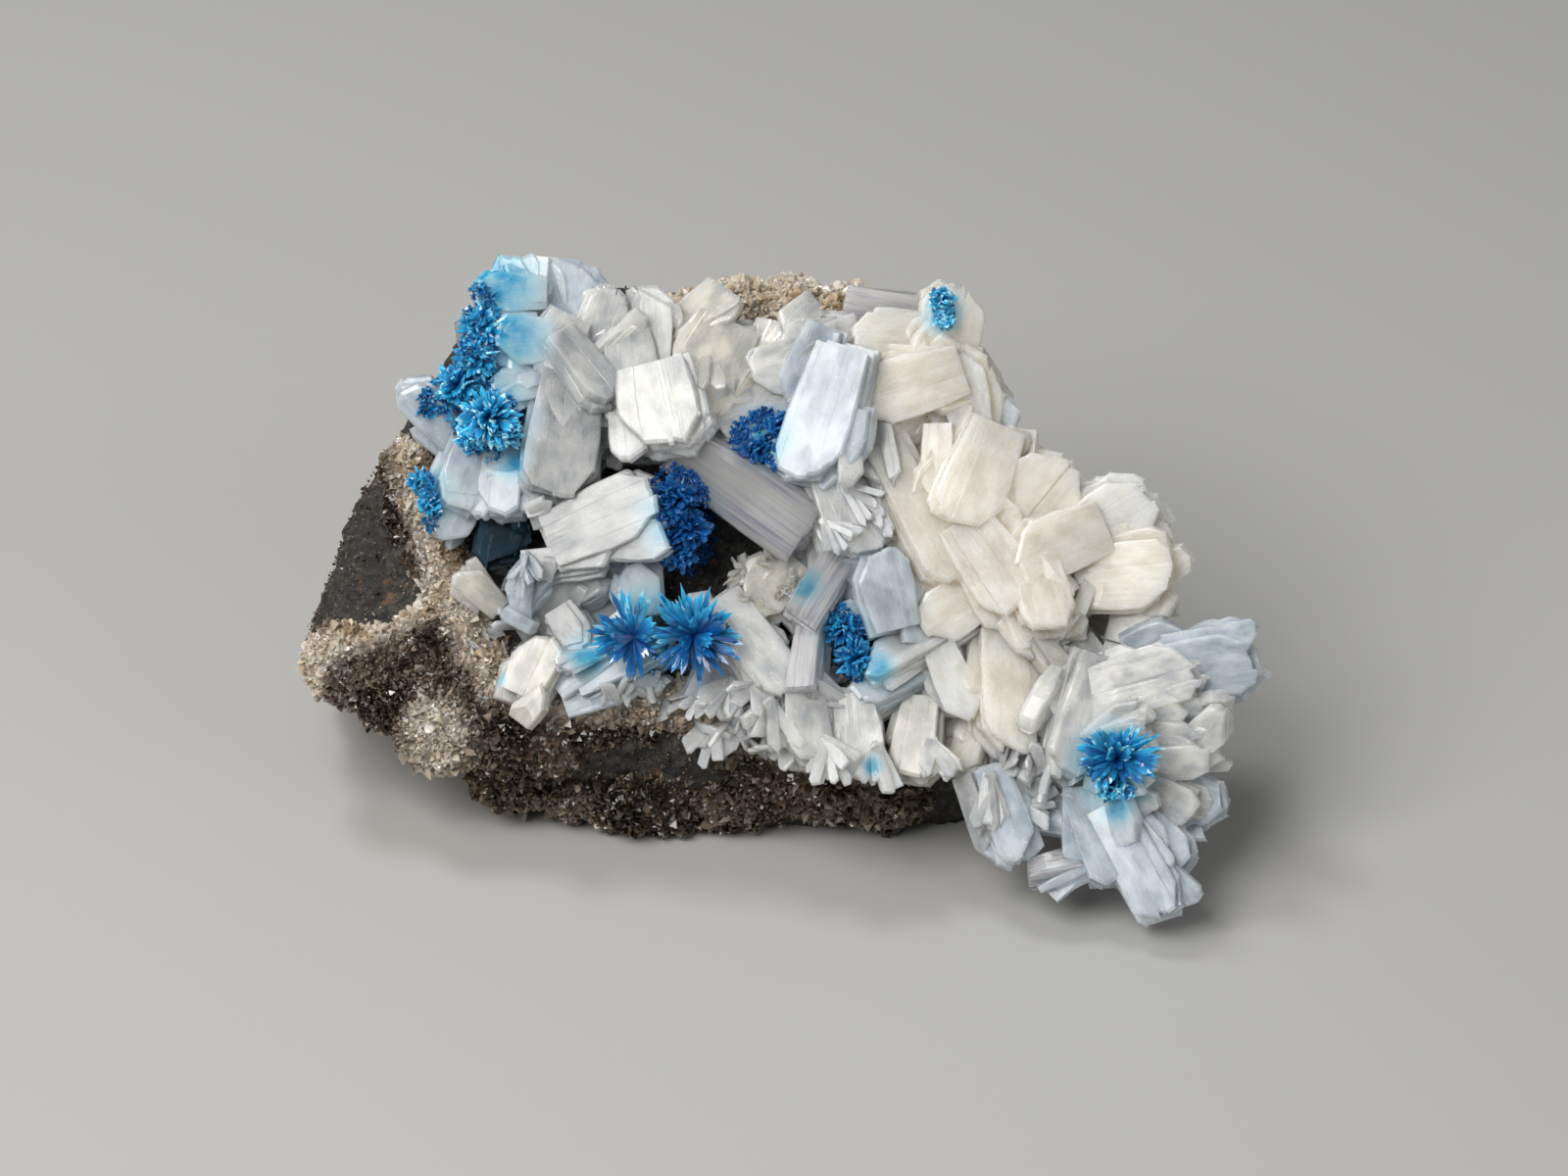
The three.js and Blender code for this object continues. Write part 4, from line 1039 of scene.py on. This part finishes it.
def plate(blade, half, root, end, front, thickness, ridges, ragged, rows, rng):
    """One growth layer of a blade, with ridges along it and a ragged tip, in the blade's own axes.

    The rows are shares of its length. A row of None stands just below the tip's bevel.
    """
    width = blade.width
    cuts = np.sort(rng.uniform(-0.88, 0.88, ridges))
    steps = np.repeat(cuts, 2) + np.tile([-0.008, 0.008], ridges)
    shares = np.concatenate([[-1, -0.95], steps, [0.95, 1]])
    strip = np.concatenate([[0], np.repeat(np.arange(ridges + 1), 2), [ridges]])
    levels = -thickness * 0.05 * rng.random(ridges + 1)
    offsets = -ragged * width * np.abs(rng.normal(0, 1, ridges + 1)).clip(0, 2.2)
    (outer, low), (inner, high) = TIPS[blade.tip]
    corners = np.array([-outer, -inner, inner, outer])
    falls = np.array([-low, -high, -high, -low]) * width * rng.uniform(0.75, 1.2, 4)
    tip = end + np.interp(shares, corners, falls) - blade.slant * width * shares + offsets[strip]
    chamfer = min(0.3, 0.35 * thickness)
    run = np.maximum(tip + root, 2 * chamfer)
    count = len(shares)
    bend = rng.uniform(-0.14, 0.14) * thickness
    top = []
    for j, row in enumerate(rows):
        level = 1 - chamfer / run if row is None else np.full(count, row)
        x = shares * half * (ROOT_SHARE + (1 - ROOT_SHARE) * np.minimum(1, level / 0.62))
        x = x * np.where(np.abs(shares) > 0.9, 1 - 0.05 * rng.random(count), 1)
        edge = np.isin(np.arange(count), (0, count - 1)) | (j in (0, len(rows) - 1))
        lift = bend * np.sin(math.pi * level) + rng.uniform(-0.01, 0.01, count) * thickness
        z = front + levels[strip] + lift - np.where(edge, 0.12 * thickness, 0)
        top.append(np.stack([x, -root + run * level, z], 1))
    top = np.stack(top, 1)
    bottom = top.copy()
    bottom[:, :, 2] = front - 1.1 * thickness
    edge = np.zeros((count, len(rows)), bool)
    edge[[0, -1], :] = True
    edge[:, [0, -1]] = True
    bottom[edge, 2] = front - 0.86 * thickness
    return np.concatenate([top.reshape(-1, 3), bottom.reshape(-1, 3)]), grid_faces(count, len(rows))


GRIDS = {}


def grid_faces(columns, rows):
    """Faces of a closed slab whose front and back are grids."""
    if (columns, rows) not in GRIDS:
        back = columns * rows
        faces = []
        for i in range(columns - 1):
            for j in range(rows - 1):
                a, b = i * rows + j, (i + 1) * rows + j
                faces.append((a, b, b + 1))
                faces.append((a, b + 1, a + 1))
                faces.append((back + a, back + b + 1, back + b))
                faces.append((back + a, back + a + 1, back + b + 1))
        rim = [i * rows for i in range(columns)]
        rim += [(columns - 1) * rows + j for j in range(1, rows)]
        rim += [i * rows + rows - 1 for i in range(columns - 2, -1, -1)]
        rim += [j for j in range(rows - 2, 0, -1)]
        for k, a in enumerate(rim):
            b = rim[(k + 1) % len(rim)]
            faces.append((b, a, back + a))
            faces.append((b, back + a, back + b))
        GRIDS[(columns, rows)] = faces
    return GRIDS[(columns, rows)]


def blade_layers(blade, settings, detail=1.0, fan=2.0, ragged=0.035):
    """The growth layers of one blade, as closed parts: (verts, faces, look).

    The look is the blade's axes, middle, half sizes, shift of the grain and tint.
    """
    rng = np.random.default_rng(abs(int(blade.seed * 1000)) + 7)
    length, width, thickness = blade.length, blade.width, blade.thickness
    count = int(np.clip(round(thickness / settings.layer_thickness * detail), 1, MOST_LAYERS))
    step = thickness / count
    tint = np.array(FINISHES[blade.finish]) * rng.uniform(0.9, 1.04)
    clear = blade.finish == "clear"
    parts = []
    for k in range(count):
        share = FRONT_TAPER + (1 - FRONT_TAPER) * min(1, 2 * k / max(1, count - 1))
        half = width / 2 * share * rng.uniform(0.95, 1.02)
        end = length / 2 * share - (0 if k == 0 else rng.uniform(-0.02, 0.05) * length)
        density = 0.9 if k == 0 and not clear else 0.6
        ridges = max(1, int(round(width * density * detail * rng.uniform(0.7, 1.2))))
        rows = [0.0, 0.3 + 0.1 * rng.random(), 0.6 + 0.15 * rng.random(), None, 1.0]
        root = length / 2 * share
        verts, faces = plate(blade, half, root, end, -k * step, step, ridges, ragged, rows, rng)
        verts[:, 0] += rng.uniform(-0.03, 0.03) * width * (k > 0)
        parts.append((verts @ turned("Z", rng.uniform(-fan, fan)).T, faces))
    if width > BROAD_WIDTH and detail == 1 and blade.place[2] < 2 and rng.random() < TERRACE_SHARE:
        half = width / 2 * FRONT_TAPER * rng.uniform(0.5, 0.9)
        end = length / 2 * rng.uniform(0.2, 0.8)
        verts, faces = plate(blade, half, length / 2 * FRONT_TAPER, end, TERRACE, 4 * TERRACE,
                             max(1, int(width * 0.4)), ragged, [0.0, 0.5, 0.8, None, 1.0], rng)
        verts[:, 0] += rng.choice([-1, 1]) * (0.45 * width * FRONT_TAPER - half)
        parts.append((verts @ turned("Z", rng.uniform(-1.5, 1.5)).T, faces))
    shift = GRAIN_SHIFT * np.array([vary(blade.seed + k) for k in (3, 4, 5)])
    half = np.array([width, length, thickness]) / 2
    look = (blade.spin.T @ FACE_AXES, from_face(blade.place), half, shift, tint)
    return [(from_face(blade.place + verts @ blade.spin.T), faces, look) for verts, faces in parts]


def small_blade(spin, place, length, width, thickness, finish, rng):
    """A blade with a slant, a tip and a seed of its own."""
    return Blade(spin, place, length, width, thickness, SLANT_SPREAD * rng.uniform(-1, 1),
                 rng.choice(SMALL_TIPS), finish, 300 * rng.random())


def radiating(hit, normal, length, finish, rng):
    """A spray of narrow blades that fan out from one root, sunk in the surface at a hit."""
    tangent = unit(np.cross(normal, unit(rng.normal(size=3))))
    middle = unit(tangent + normal * rng.uniform(0.2, 1.2) - 0.4 * UP)
    facing = unit(normal + 0.6 * unit(rng.normal(size=3)))
    facing = unit(facing - middle * (facing @ middle))
    root = hit - middle * 0.2 * length
    count = int(rng.integers(3, 6))
    spread = rng.uniform(10, 26)
    blades = []
    for i in range(count):
        spin = FACE_AXES @ np.stack([np.cross(middle, facing), middle, facing], 1)
        spin = (spin @ turned("Z", (i - (count - 1) / 2) * spread + rng.normal(0, 4))
                @ turned("X", rng.normal(0, 12)) @ turned("Y", rng.normal(0, 40)))
        reach = length * rng.uniform(0.6, 1.1)
        width = length * rng.uniform(0.18, 0.38)
        place = (FACE_AXES @ (root - FACE_MIDDLE) + spin[:, 1] * reach / 2
                 + spin[:, 2] * rng.uniform(-0.1, 0.2))
        blades.append(small_blade(spin, place, reach, width,
                                  width * rng.uniform(0.18, 0.36), finish, rng))
    return blades


def alongside(hit, near, length, finish, rng):
    """A few blades grown alongside the nearest large one, through the surface at a hit."""
    place = FACE_AXES @ (hit - FACE_MIDDLE)
    lean = (turned("Z", rng.normal(0, 16)) @ turned("X", rng.uniform(-4, 13))
            @ turned("Y", rng.normal(0, 18)))
    finish = finish if near.finish == "clear" else near.finish
    blades = []
    for _ in range(int(rng.integers(1, 4))):
        spin = near.spin @ lean @ turned("Z", rng.normal(0, 8)) @ turned("Y", rng.normal(0, 7))
        reach = length * rng.uniform(0.65, 1.15)
        width = reach * rng.uniform(0.32, 0.58)
        shift = np.array([rng.normal(0, 0.35) * width, rng.uniform(-0.25, 0.1) * reach,
                          rng.uniform(0.0, 0.4)])
        blades.append(small_blade(spin, place + spin @ shift, reach, width,
                                  width * rng.uniform(0.35, 0.55), finish, rng))
    return blades


def fan_blades(fan, surface, rng):
    """Blades fanned out from one root on the surface, over the display face."""
    across, up, turn, spread, count, length, width, roll, finish = fan
    root = next(strewn(surface, (across, up, 0.01, 0.01, 0, 1), rng), None)
    if root is None:
        return []
    root = FACE_AXES @ (root[0] - FACE_MIDDLE)
    blades = []
    for i in range(count):
        share = 2 * i / (count - 1) - 1
        spin = (turned("Z", turn - 90 + share * spread + rng.normal(0, 0.12 * spread))
                @ turned("X", rng.uniform(4, 22)) @ turned("Y", roll + rng.normal(0, 10)))
        reach = length * rng.uniform(0.75, 1.05)
        place = (root + spin[:, 1] * (0.5 * reach - 0.12 * length)
                 + np.array([0, 0, rng.uniform(-0.3, 0.5)]))
        blades.append(small_blade(spin, place, reach, width * rng.uniform(0.7, 1.2),
                                  width * rng.uniform(0.35, 0.6), finish, rng))
    return blades


def on_broad_face(blades, point):
    """Whether a point lies on the open front of one of the blades."""
    place = FACE_AXES @ (point - FACE_MIDDLE)
    for blade in blades:
        x, y, z = blade.spin.T @ (place - blade.place)
        if abs(x) < 0.42 * blade.width and -0.38 < y / blade.length < 0.44 and abs(z) < 0.9:
            return True
    return False


def surface_of(parts, *names):
    """What a ray meets: parts that aren't joined yet, and finished pieces by name, in metres."""
    verts, faces = [], []
    for part in parts:
        start = len(verts)
        verts += (part[0] * MM).tolist()
        faces += [[start + v for v in face] for face in part[1]]
    for name in names:
        mesh = bpy.data.objects[name].data
        start = len(verts)
        verts += [vertex.co[:] for vertex in mesh.vertices]
        faces += [[start + v for v in polygon.vertices] for polygon in mesh.polygons]
    return BVHTree.FromPolygons(verts, faces)


def strewn(surface, field, rng):
    """Hits and normals of places strewn over an ellipse of the display face.

    The field starts with [across, up, half width, half height, turn, count].
    """
    across, up, half_width, half_height, turn, count = field[:6]
    reach = np.sqrt(rng.random(count))
    angle = rng.uniform(0, math.tau, count)
    spots = np.stack([reach * np.cos(angle) * half_width, reach * np.sin(angle) * half_height], 1)
    spots = spots @ turned("Z", turn)[:2, :2].T + [across, up]
    for spot in spots:
        start = from_face((*spot, RAY_START)) * MM
        hit, normal, _, _ = surface.ray_cast(Vector(start), Vector(-OUT))
        if hit is not None:
            normal = np.array(normal)
            yield np.array(hit) / MM, normal if normal @ OUT > 0 else -normal


def region_of(row):
    """The part of the cluster that an outer blade or a bed belongs to."""
    across, up = row[:2]
    if across < -12:
        return "left"
    if across < 8:
        return "centre"
    return "right" if up > -10 else "front"


def make_stilbite(settings):
    """All the blades, in one closed body for each part of the cluster, and the clear ones."""
    rng = np.random.default_rng(STILBITE_SEED)
    regions = {"left": LEFT_BLADES, "centre": CENTRE_BLADES, "right": RIGHT_BLADES,
               "front": FRONT_BLADES}
    parts, clear, broad = {name: [] for name in regions}, [], []
    for name, rows in regions.items():
        fan, ragged = (5.0, 0.06) if name == "front" else (2.5, 0.045)
        for row in rows:
            blade = main_blade(row)
            broad.append(blade)
            if blade.finish == "clear":
                clear.extend(blade_layers(blade, settings, fan=0.8))
                continue
            parts[name].extend(blade_layers(blade, settings, fan=fan, ragged=ragged))
            large = blade.length * blade.width > LARGE_AREA
            for small in offshoots(blade, 5 if large else 3, rng):
                parts[name].extend(blade_layers(small, settings, fan=3.0, ragged=ragged))
    for row in OUTER_BLADES + BED_BLADES:
        name = region_of(row)
        blade = main_blade(row)
        parts[name].extend(blade_layers(blade, settings, detail=0.6))
        if row in OUTER_BLADES:
            for small in offshoots(blade, 4, rng):
                parts[name].extend(blade_layers(small, settings, fan=3.0))
    surface = surface_of([part for group in parts.values() for part in group], "basalt_rock",
                         "druse_wall_left", "druse_wall_right")
    for name, fields in STILBITE_FIELDS.items():
        for field in fields:
            length, finish, habit = field[6:]
            for hit, normal in strewn(surface, field, rng):
                if length > BARE_LENGTH and on_broad_face(broad, hit):
                    continue
                if habit == "radiating":
                    grown = radiating(hit, normal, length, finish, rng)
                else:
                    place = FACE_AXES @ (hit - FACE_MIDDLE)
                    near = min(broad, key=lambda blade: np.linalg.norm(blade.place - place))
                    grown = alongside(hit, near, length, finish, rng)
                for small in grown:
                    parts[name].extend(blade_layers(small, settings, fan=0, ragged=0.04))
        for fan in STILBITE_FANS[name]:
            for small in fan_blades(fan, surface, rng):
                parts[name].extend(blade_layers(small, settings, fan=0, ragged=0.04))
    milky = stilbite_material(settings, "Milky stilbite", clearness=0.08,
                              clouds=(0.92, 0.90, 0.88), reach=1.6, gloss=0.6)
    translucent = stilbite_material(settings, "Translucent stilbite", clearness=0.24,
                                    clouds=(0.70, 0.73, 0.78), reach=1.0, gloss=1.0)
    for name, group in parts.items():
        body = join_solids(f"stilbite_{name}", group)
        dress(body, milky if name == "right" else translucent, "stilbite", "stilbite_cluster")
    prism = join_solids("stilbite_clear", clear)
    dress(prism, clear_material(settings), "stilbite", "stilbite_cluster")


# ---------------------------------------------------------------- cavansite

def rosette(centre, facing, radius, fans, blades, width, rng):
    """Flat fans of blades that spread from a centre, on its open side.

    Returns the blades' feet, axes, broad directions, lengths and half widths.
    """
    open_side = [d for d in any_directions(fans * 12, rng) if d @ facing > -0.15]
    chosen = [open_side[0]]
    for _ in range(fans - 1):
        nearness = [max(d @ c for c in chosen) for d in open_side]
        chosen.append(open_side[int(np.argmin(nearness))])
    axes, wide, lengths = [], [], []
    for middle in chosen:
        reach = radius * rng.uniform(0.74, 1.02)
        spread = unit(np.cross(middle, rng.normal(size=3)))
        for _ in range(blades):
            axes.append(unit(middle + spread * rng.normal(0, 0.2) + 0.05 * rng.normal(size=3)))
            lengths.append(reach * rng.uniform(0.7, 1.0))
            wide.append(spread + 0.15 * rng.normal(size=3))
    count = len(axes)
    return (np.tile(centre, (count, 1)), np.array(axes), np.array(wide), np.array(lengths),
            width / 2 * rng.uniform(0.6, 1.25, count))


def open_rosette(centre, fans, width, rng):
    """Broad fans of blades that lie open over the display face, and how bright each blade is
    painted: lighter where the fan points up, as painted light from above.
    """
    axes, wide, lengths, painted_light_levels = [], [], [], []
    for around, rise, length in fans:
        around, rise = math.radians(around), math.radians(rise)
        flat = math.cos(around) * ACROSS + math.sin(around) * UP
        middle = math.cos(rise) * flat + math.sin(rise) * OUT
        spread = unit(math.cos(around) * UP - math.sin(around) * ACROSS + rng.normal(0, 0.35) * OUT)
        # Fans that point up are painted lighter and those that point down darker: painted light
        # from above, with a random part.
        bright = 0.72 + 0.32 * math.sin(around) + 0.14 * rng.normal()
        for _ in range(OPEN_BLADES):
            axes.append(unit(middle + spread * rng.normal(0, 0.14) + 0.03 * rng.normal(size=3)))
            lengths.append(length * rng.uniform(0.55, 1.0))
            wide.append(spread + 0.2 * rng.normal(size=3))
            painted_light_levels.append(bright)
    count = len(axes)
    return (np.tile(centre, (count, 1)), np.array(axes), np.array(wide), np.array(lengths),
            width / 2 * rng.uniform(0.7, 1.3, count)), np.array(painted_light_levels)


def make_cavansite(node, surface, settings, material, seed):
    """One growth of cavansite: its rosettes, and a coat of tiny ones on what is around them."""
    rng = np.random.default_rng(seed)
    width = settings.blade_width / MM
    groups, painted_light_levels = [], []
    for across, up, out, radius in ROSETTES[node]:
        centre = from_face((across, up, out))
        if (across, up) in OPEN_FANS:
            group, bright = open_rosette(centre, OPEN_FANS[(across, up)], width * 0.95, rng)
            groups.append(group)
            painted_light_levels.append(bright * PAINTED_LIGHT_LEVEL[node])
            continue
        facing = unit(OUT + 0.35 * UP)
        if "pocket" in node:
            centre = centre - POCKET_DEPTH * OUT
        fans = int(16 + 9 * radius)
        groups.append(rosette(centre, facing, radius * 1.06, fans, 4, width * 1.2, rng))
        painted_light_levels.append(np.full(len(groups[-1][0]), PAINTED_LIGHT_LEVEL[node]))
    top = max(row[2] for row in ROSETTES[node]) + POCKET_RIM
    for field in COATS[node]:
        for hit, normal in strewn(surface, field, rng):
            if "pocket" in node and (hit - FACE_MIDDLE) @ OUT > top:
                continue
            radius = field[6] * rng.uniform(0.5, 1.15)
            groups.append(rosette(hit, normal, radius, 4, 3, width * 0.8, rng))
            bright = COAT_TONE * PAINTED_LIGHT_LEVEL[node] * rng.uniform(0.6, 1.3)
            painted_light_levels.append(np.full(len(groups[-1][0]), bright))
    feet, axes, wide, lengths, widths = (np.concatenate(column) for column in zip(*groups))
    painted_light_levels = np.concatenate(painted_light_levels)
    count = len(feet)
    verts, faces, owner = prisms(feet, axes, wide, widths, widths * 0.4, lengths,
                                 rng.uniform(0.08, 0.3, count), root=0.4)
    away = np.linalg.norm(verts - feet[owner], axis=1) / lengths[owner]
    # Dark at each blade's root and light at its tip: painted shade in the rosette's middle and a
    # painted highlight at the tips, with a random part, times the growth's painted light.
    tone_and_painted_light = 0.04 + 0.95 * away ** 1.8 + 0.18 * rng.normal(size=count)[owner]
    tone_and_painted_light = np.clip(tone_and_painted_light * painted_light_levels[owner], 0, 1)
    verts[:, 2] = np.maximum(verts[:, 2], ROSETTE_FLOOR)
    piece = add_mesh(node.replace("cavansite", "blue"), verts, faces, {"tone_and_painted_light": tone_and_painted_light})
    dress(piece, material, "cavansite", node)


# ---------------------------------------------------------------- the stage

def aim(thing, place, target):
    """Puts a light or camera at a place, looking at a target."""
    back = (Vector(place) - Vector(target)).normalized()
    right = Vector((0, 0, 1)).cross(back).normalized()
    turn = Matrix((right, back.cross(right), back)).transposed().to_4x4()
    thing.matrix_world = Matrix.Translation(place) @ turn


def add_light(name, place, size, power, colour):
    """A soft square light aimed at the specimen."""
    light = bpy.data.lights.new(name, "AREA")
    light.size = size
    light.energy = power
    light.color = colour
    lamp = bpy.data.objects.new(name, light)
    bpy.context.scene.collection.objects.link(lamp)
    aim(lamp, place, LIGHT_TARGET)


def make_stage(settings):
    """The floor, the light and the camera."""
    scene = bpy.context.scene
    corners = np.array([[-1, -1, 0], [1, -1, 0], [1, 1, 0], [-1, 1, 0]]) * FLOOR_HALF / MM
    floor = add_mesh("floor", corners, [(0, 1, 2, 3)])
    floor.data.materials.append(floor_material(settings))
    world = bpy.data.worlds.new("Studio")
    world.use_nodes = True
    sky = world.node_tree.nodes["Background"]
    sky.inputs["Color"].default_value = (*SKY_COLOR, 1)
    sky.inputs["Strength"].default_value = settings.sky_strength
    scene.world = world
    for name, (place, size, power, colour) in LIGHTS.items():
        add_light(name, place, size, power * settings.light_strength, colour)
    distance = VIEW_WIDTH * MM / SENSOR * LENS
    camera = bpy.data.cameras.new("camera")
    camera.lens = LENS
    camera.sensor_width = SENSOR
    view = bpy.data.objects.new("camera", camera)
    scene.collection.objects.link(view)
    middle = Vector(FACE_MIDDLE * MM)
    aim(view, middle + Vector(OUT) * distance, middle)
    scene.camera = view
    scene.view_settings.view_transform = "Standard"


# ---------------------------------------------------------------- the add-on

def colour_setting(name, description, default):
    """A colour that a user may change."""
    return bpy.props.FloatVectorProperty(
        name=name, description=description, subtype="COLOR", min=0, max=1, default=default)


class SpecimenSettings(bpy.types.PropertyGroup):
    """Sizes and colours of the specimen."""

    basalt_color: colour_setting("Basalt", "Colour of the broken basalt", (0.044, 0.042, 0.038))
    rust_color: colour_setting("Rust", "Colour of the rusty flecks on the basalt",
                               (0.16, 0.085, 0.04))
    stain_color: colour_setting("Blue stain", "Colour that cavansite lends the stilbite",
                                (0.07, 0.42, 0.68))
    cavansite_deep: colour_setting("Deep blue", "Colour deep in a rosette", (0.001, 0.028, 0.24))
    cavansite_bright: colour_setting("Bright blue", "Colour at the tips of a rosette",
                                     (0.04, 0.52, 0.92))
    floor_color: colour_setting("Floor", "Colour of the floor", (0.43, 0.43, 0.42))
    layer_thickness: bpy.props.FloatProperty(
        name="Layer", description="Thickness of a growth layer of stilbite, in millimetres",
        min=0.3, max=3, default=1.05)
    blade_width: bpy.props.FloatProperty(
        name="Blade width", description="Width of a cavansite blade", unit="LENGTH",
        min=0.0001, max=0.002, default=0.00055)
    light_strength: bpy.props.FloatProperty(
        name="Light", description="Strength of the studio lights", min=0, max=10, default=1.0)
    sky_strength: bpy.props.FloatProperty(
        name="Sky", description="Strength of the even light from all round",
        min=0, max=5, default=0.13)


class SPECIMEN_OT_basalt(bpy.types.Operator):
    """Builds the basalt matrix"""

    bl_idname = "specimen.basalt"
    bl_label = "Basalt matrix"

    def execute(self, context):
        make_basalt(context.scene.specimen)
        return {"FINISHED"}


class SPECIMEN_OT_druse(bpy.types.Operator):
    """Builds the crusts of small crystals on the front and the crest"""

    bl_idname = "specimen.druse"
    bl_label = "Druse"

    def execute(self, context):
        material = druse_material()
        left = [lump for lump in FRONT_DRUSE if lump[0] < DRUSE_SPLIT]
        right = [lump for lump in FRONT_DRUSE if lump[0] >= DRUSE_SPLIT]
        for name, lumps in zip(DRUSE_CRUSTS, (left, right, CREST_DRUSE)):
            make_druse(name, lumps, material)
        return {"FINISHED"}


class SPECIMEN_OT_stilbite(bpy.types.Operator):
    """Builds the cluster of stilbite blades"""

    bl_idname = "specimen.stilbite"
    bl_label = "Stilbite cluster"

    def execute(self, context):
        make_stilbite(context.scene.specimen)
        return {"FINISHED"}


class SPECIMEN_OT_cavansite(bpy.types.Operator):
    """Builds the blue rosettes and coats, on the stilbite and the rock"""

    bl_idname = "specimen.cavansite"
    bl_label = "Cavansite"

    def execute(self, context):
        settings = context.scene.specimen
        surface = surface_of([], "basalt_rock", "stilbite_left", "stilbite_centre",
                             "stilbite_right", "stilbite_front", "stilbite_clear")
        open_blue = cavansite_material(settings, "Cavansite", gloss=0.8)
        pocket_blue = cavansite_material(settings, "Pocket cavansite", gloss=0.1)
        for seed, node in enumerate(ROSETTES):
            material = pocket_blue if "pocket" in node else open_blue
            make_cavansite(node, surface, settings, material, CAVANSITE_SEED + seed)
        return {"FINISHED"}


class SPECIMEN_OT_stage(bpy.types.Operator):
    """Sets up the floor, lights and camera"""

    bl_idname = "specimen.stage"
    bl_label = "Stage"

    def execute(self, context):
        make_stage(context.scene.specimen)
        return {"FINISHED"}


STEPS = (SPECIMEN_OT_basalt, SPECIMEN_OT_druse, SPECIMEN_OT_stilbite, SPECIMEN_OT_cavansite,
         SPECIMEN_OT_stage)


class SPECIMEN_PT_panel(bpy.types.Panel):
    """Lists the settings and the steps"""

    bl_idname = "SPECIMEN_PT_panel"
    bl_label = "Cavansite specimen"
    bl_space_type = "VIEW_3D"
    bl_region_type = "UI"
    bl_category = "Specimen"

    def draw(self, context):
        settings = context.scene.specimen
        for name in SpecimenSettings.__annotations__:
            self.layout.prop(settings, name)
        for step in STEPS:
            self.layout.operator(step.bl_idname)


def register():
    """Adds the classes and the scene's settings."""
    for item in (SpecimenSettings, *STEPS, SPECIMEN_PT_panel):
        bpy.utils.register_class(item)
    bpy.types.Scene.specimen = bpy.props.PointerProperty(type=SpecimenSettings)


def unregister():
    """Takes them away again."""
    del bpy.types.Scene.specimen
    for item in reversed((SpecimenSettings, *STEPS, SPECIMEN_PT_panel)):
        bpy.utils.unregister_class(item)


def main():
    """Builds every piece."""
    register()
    bpy.ops.specimen.basalt()
    bpy.ops.specimen.druse()
    bpy.ops.specimen.stilbite()
    bpy.ops.specimen.cavansite()
    bpy.ops.specimen.stage()


if __name__ == "__main__":
    main()
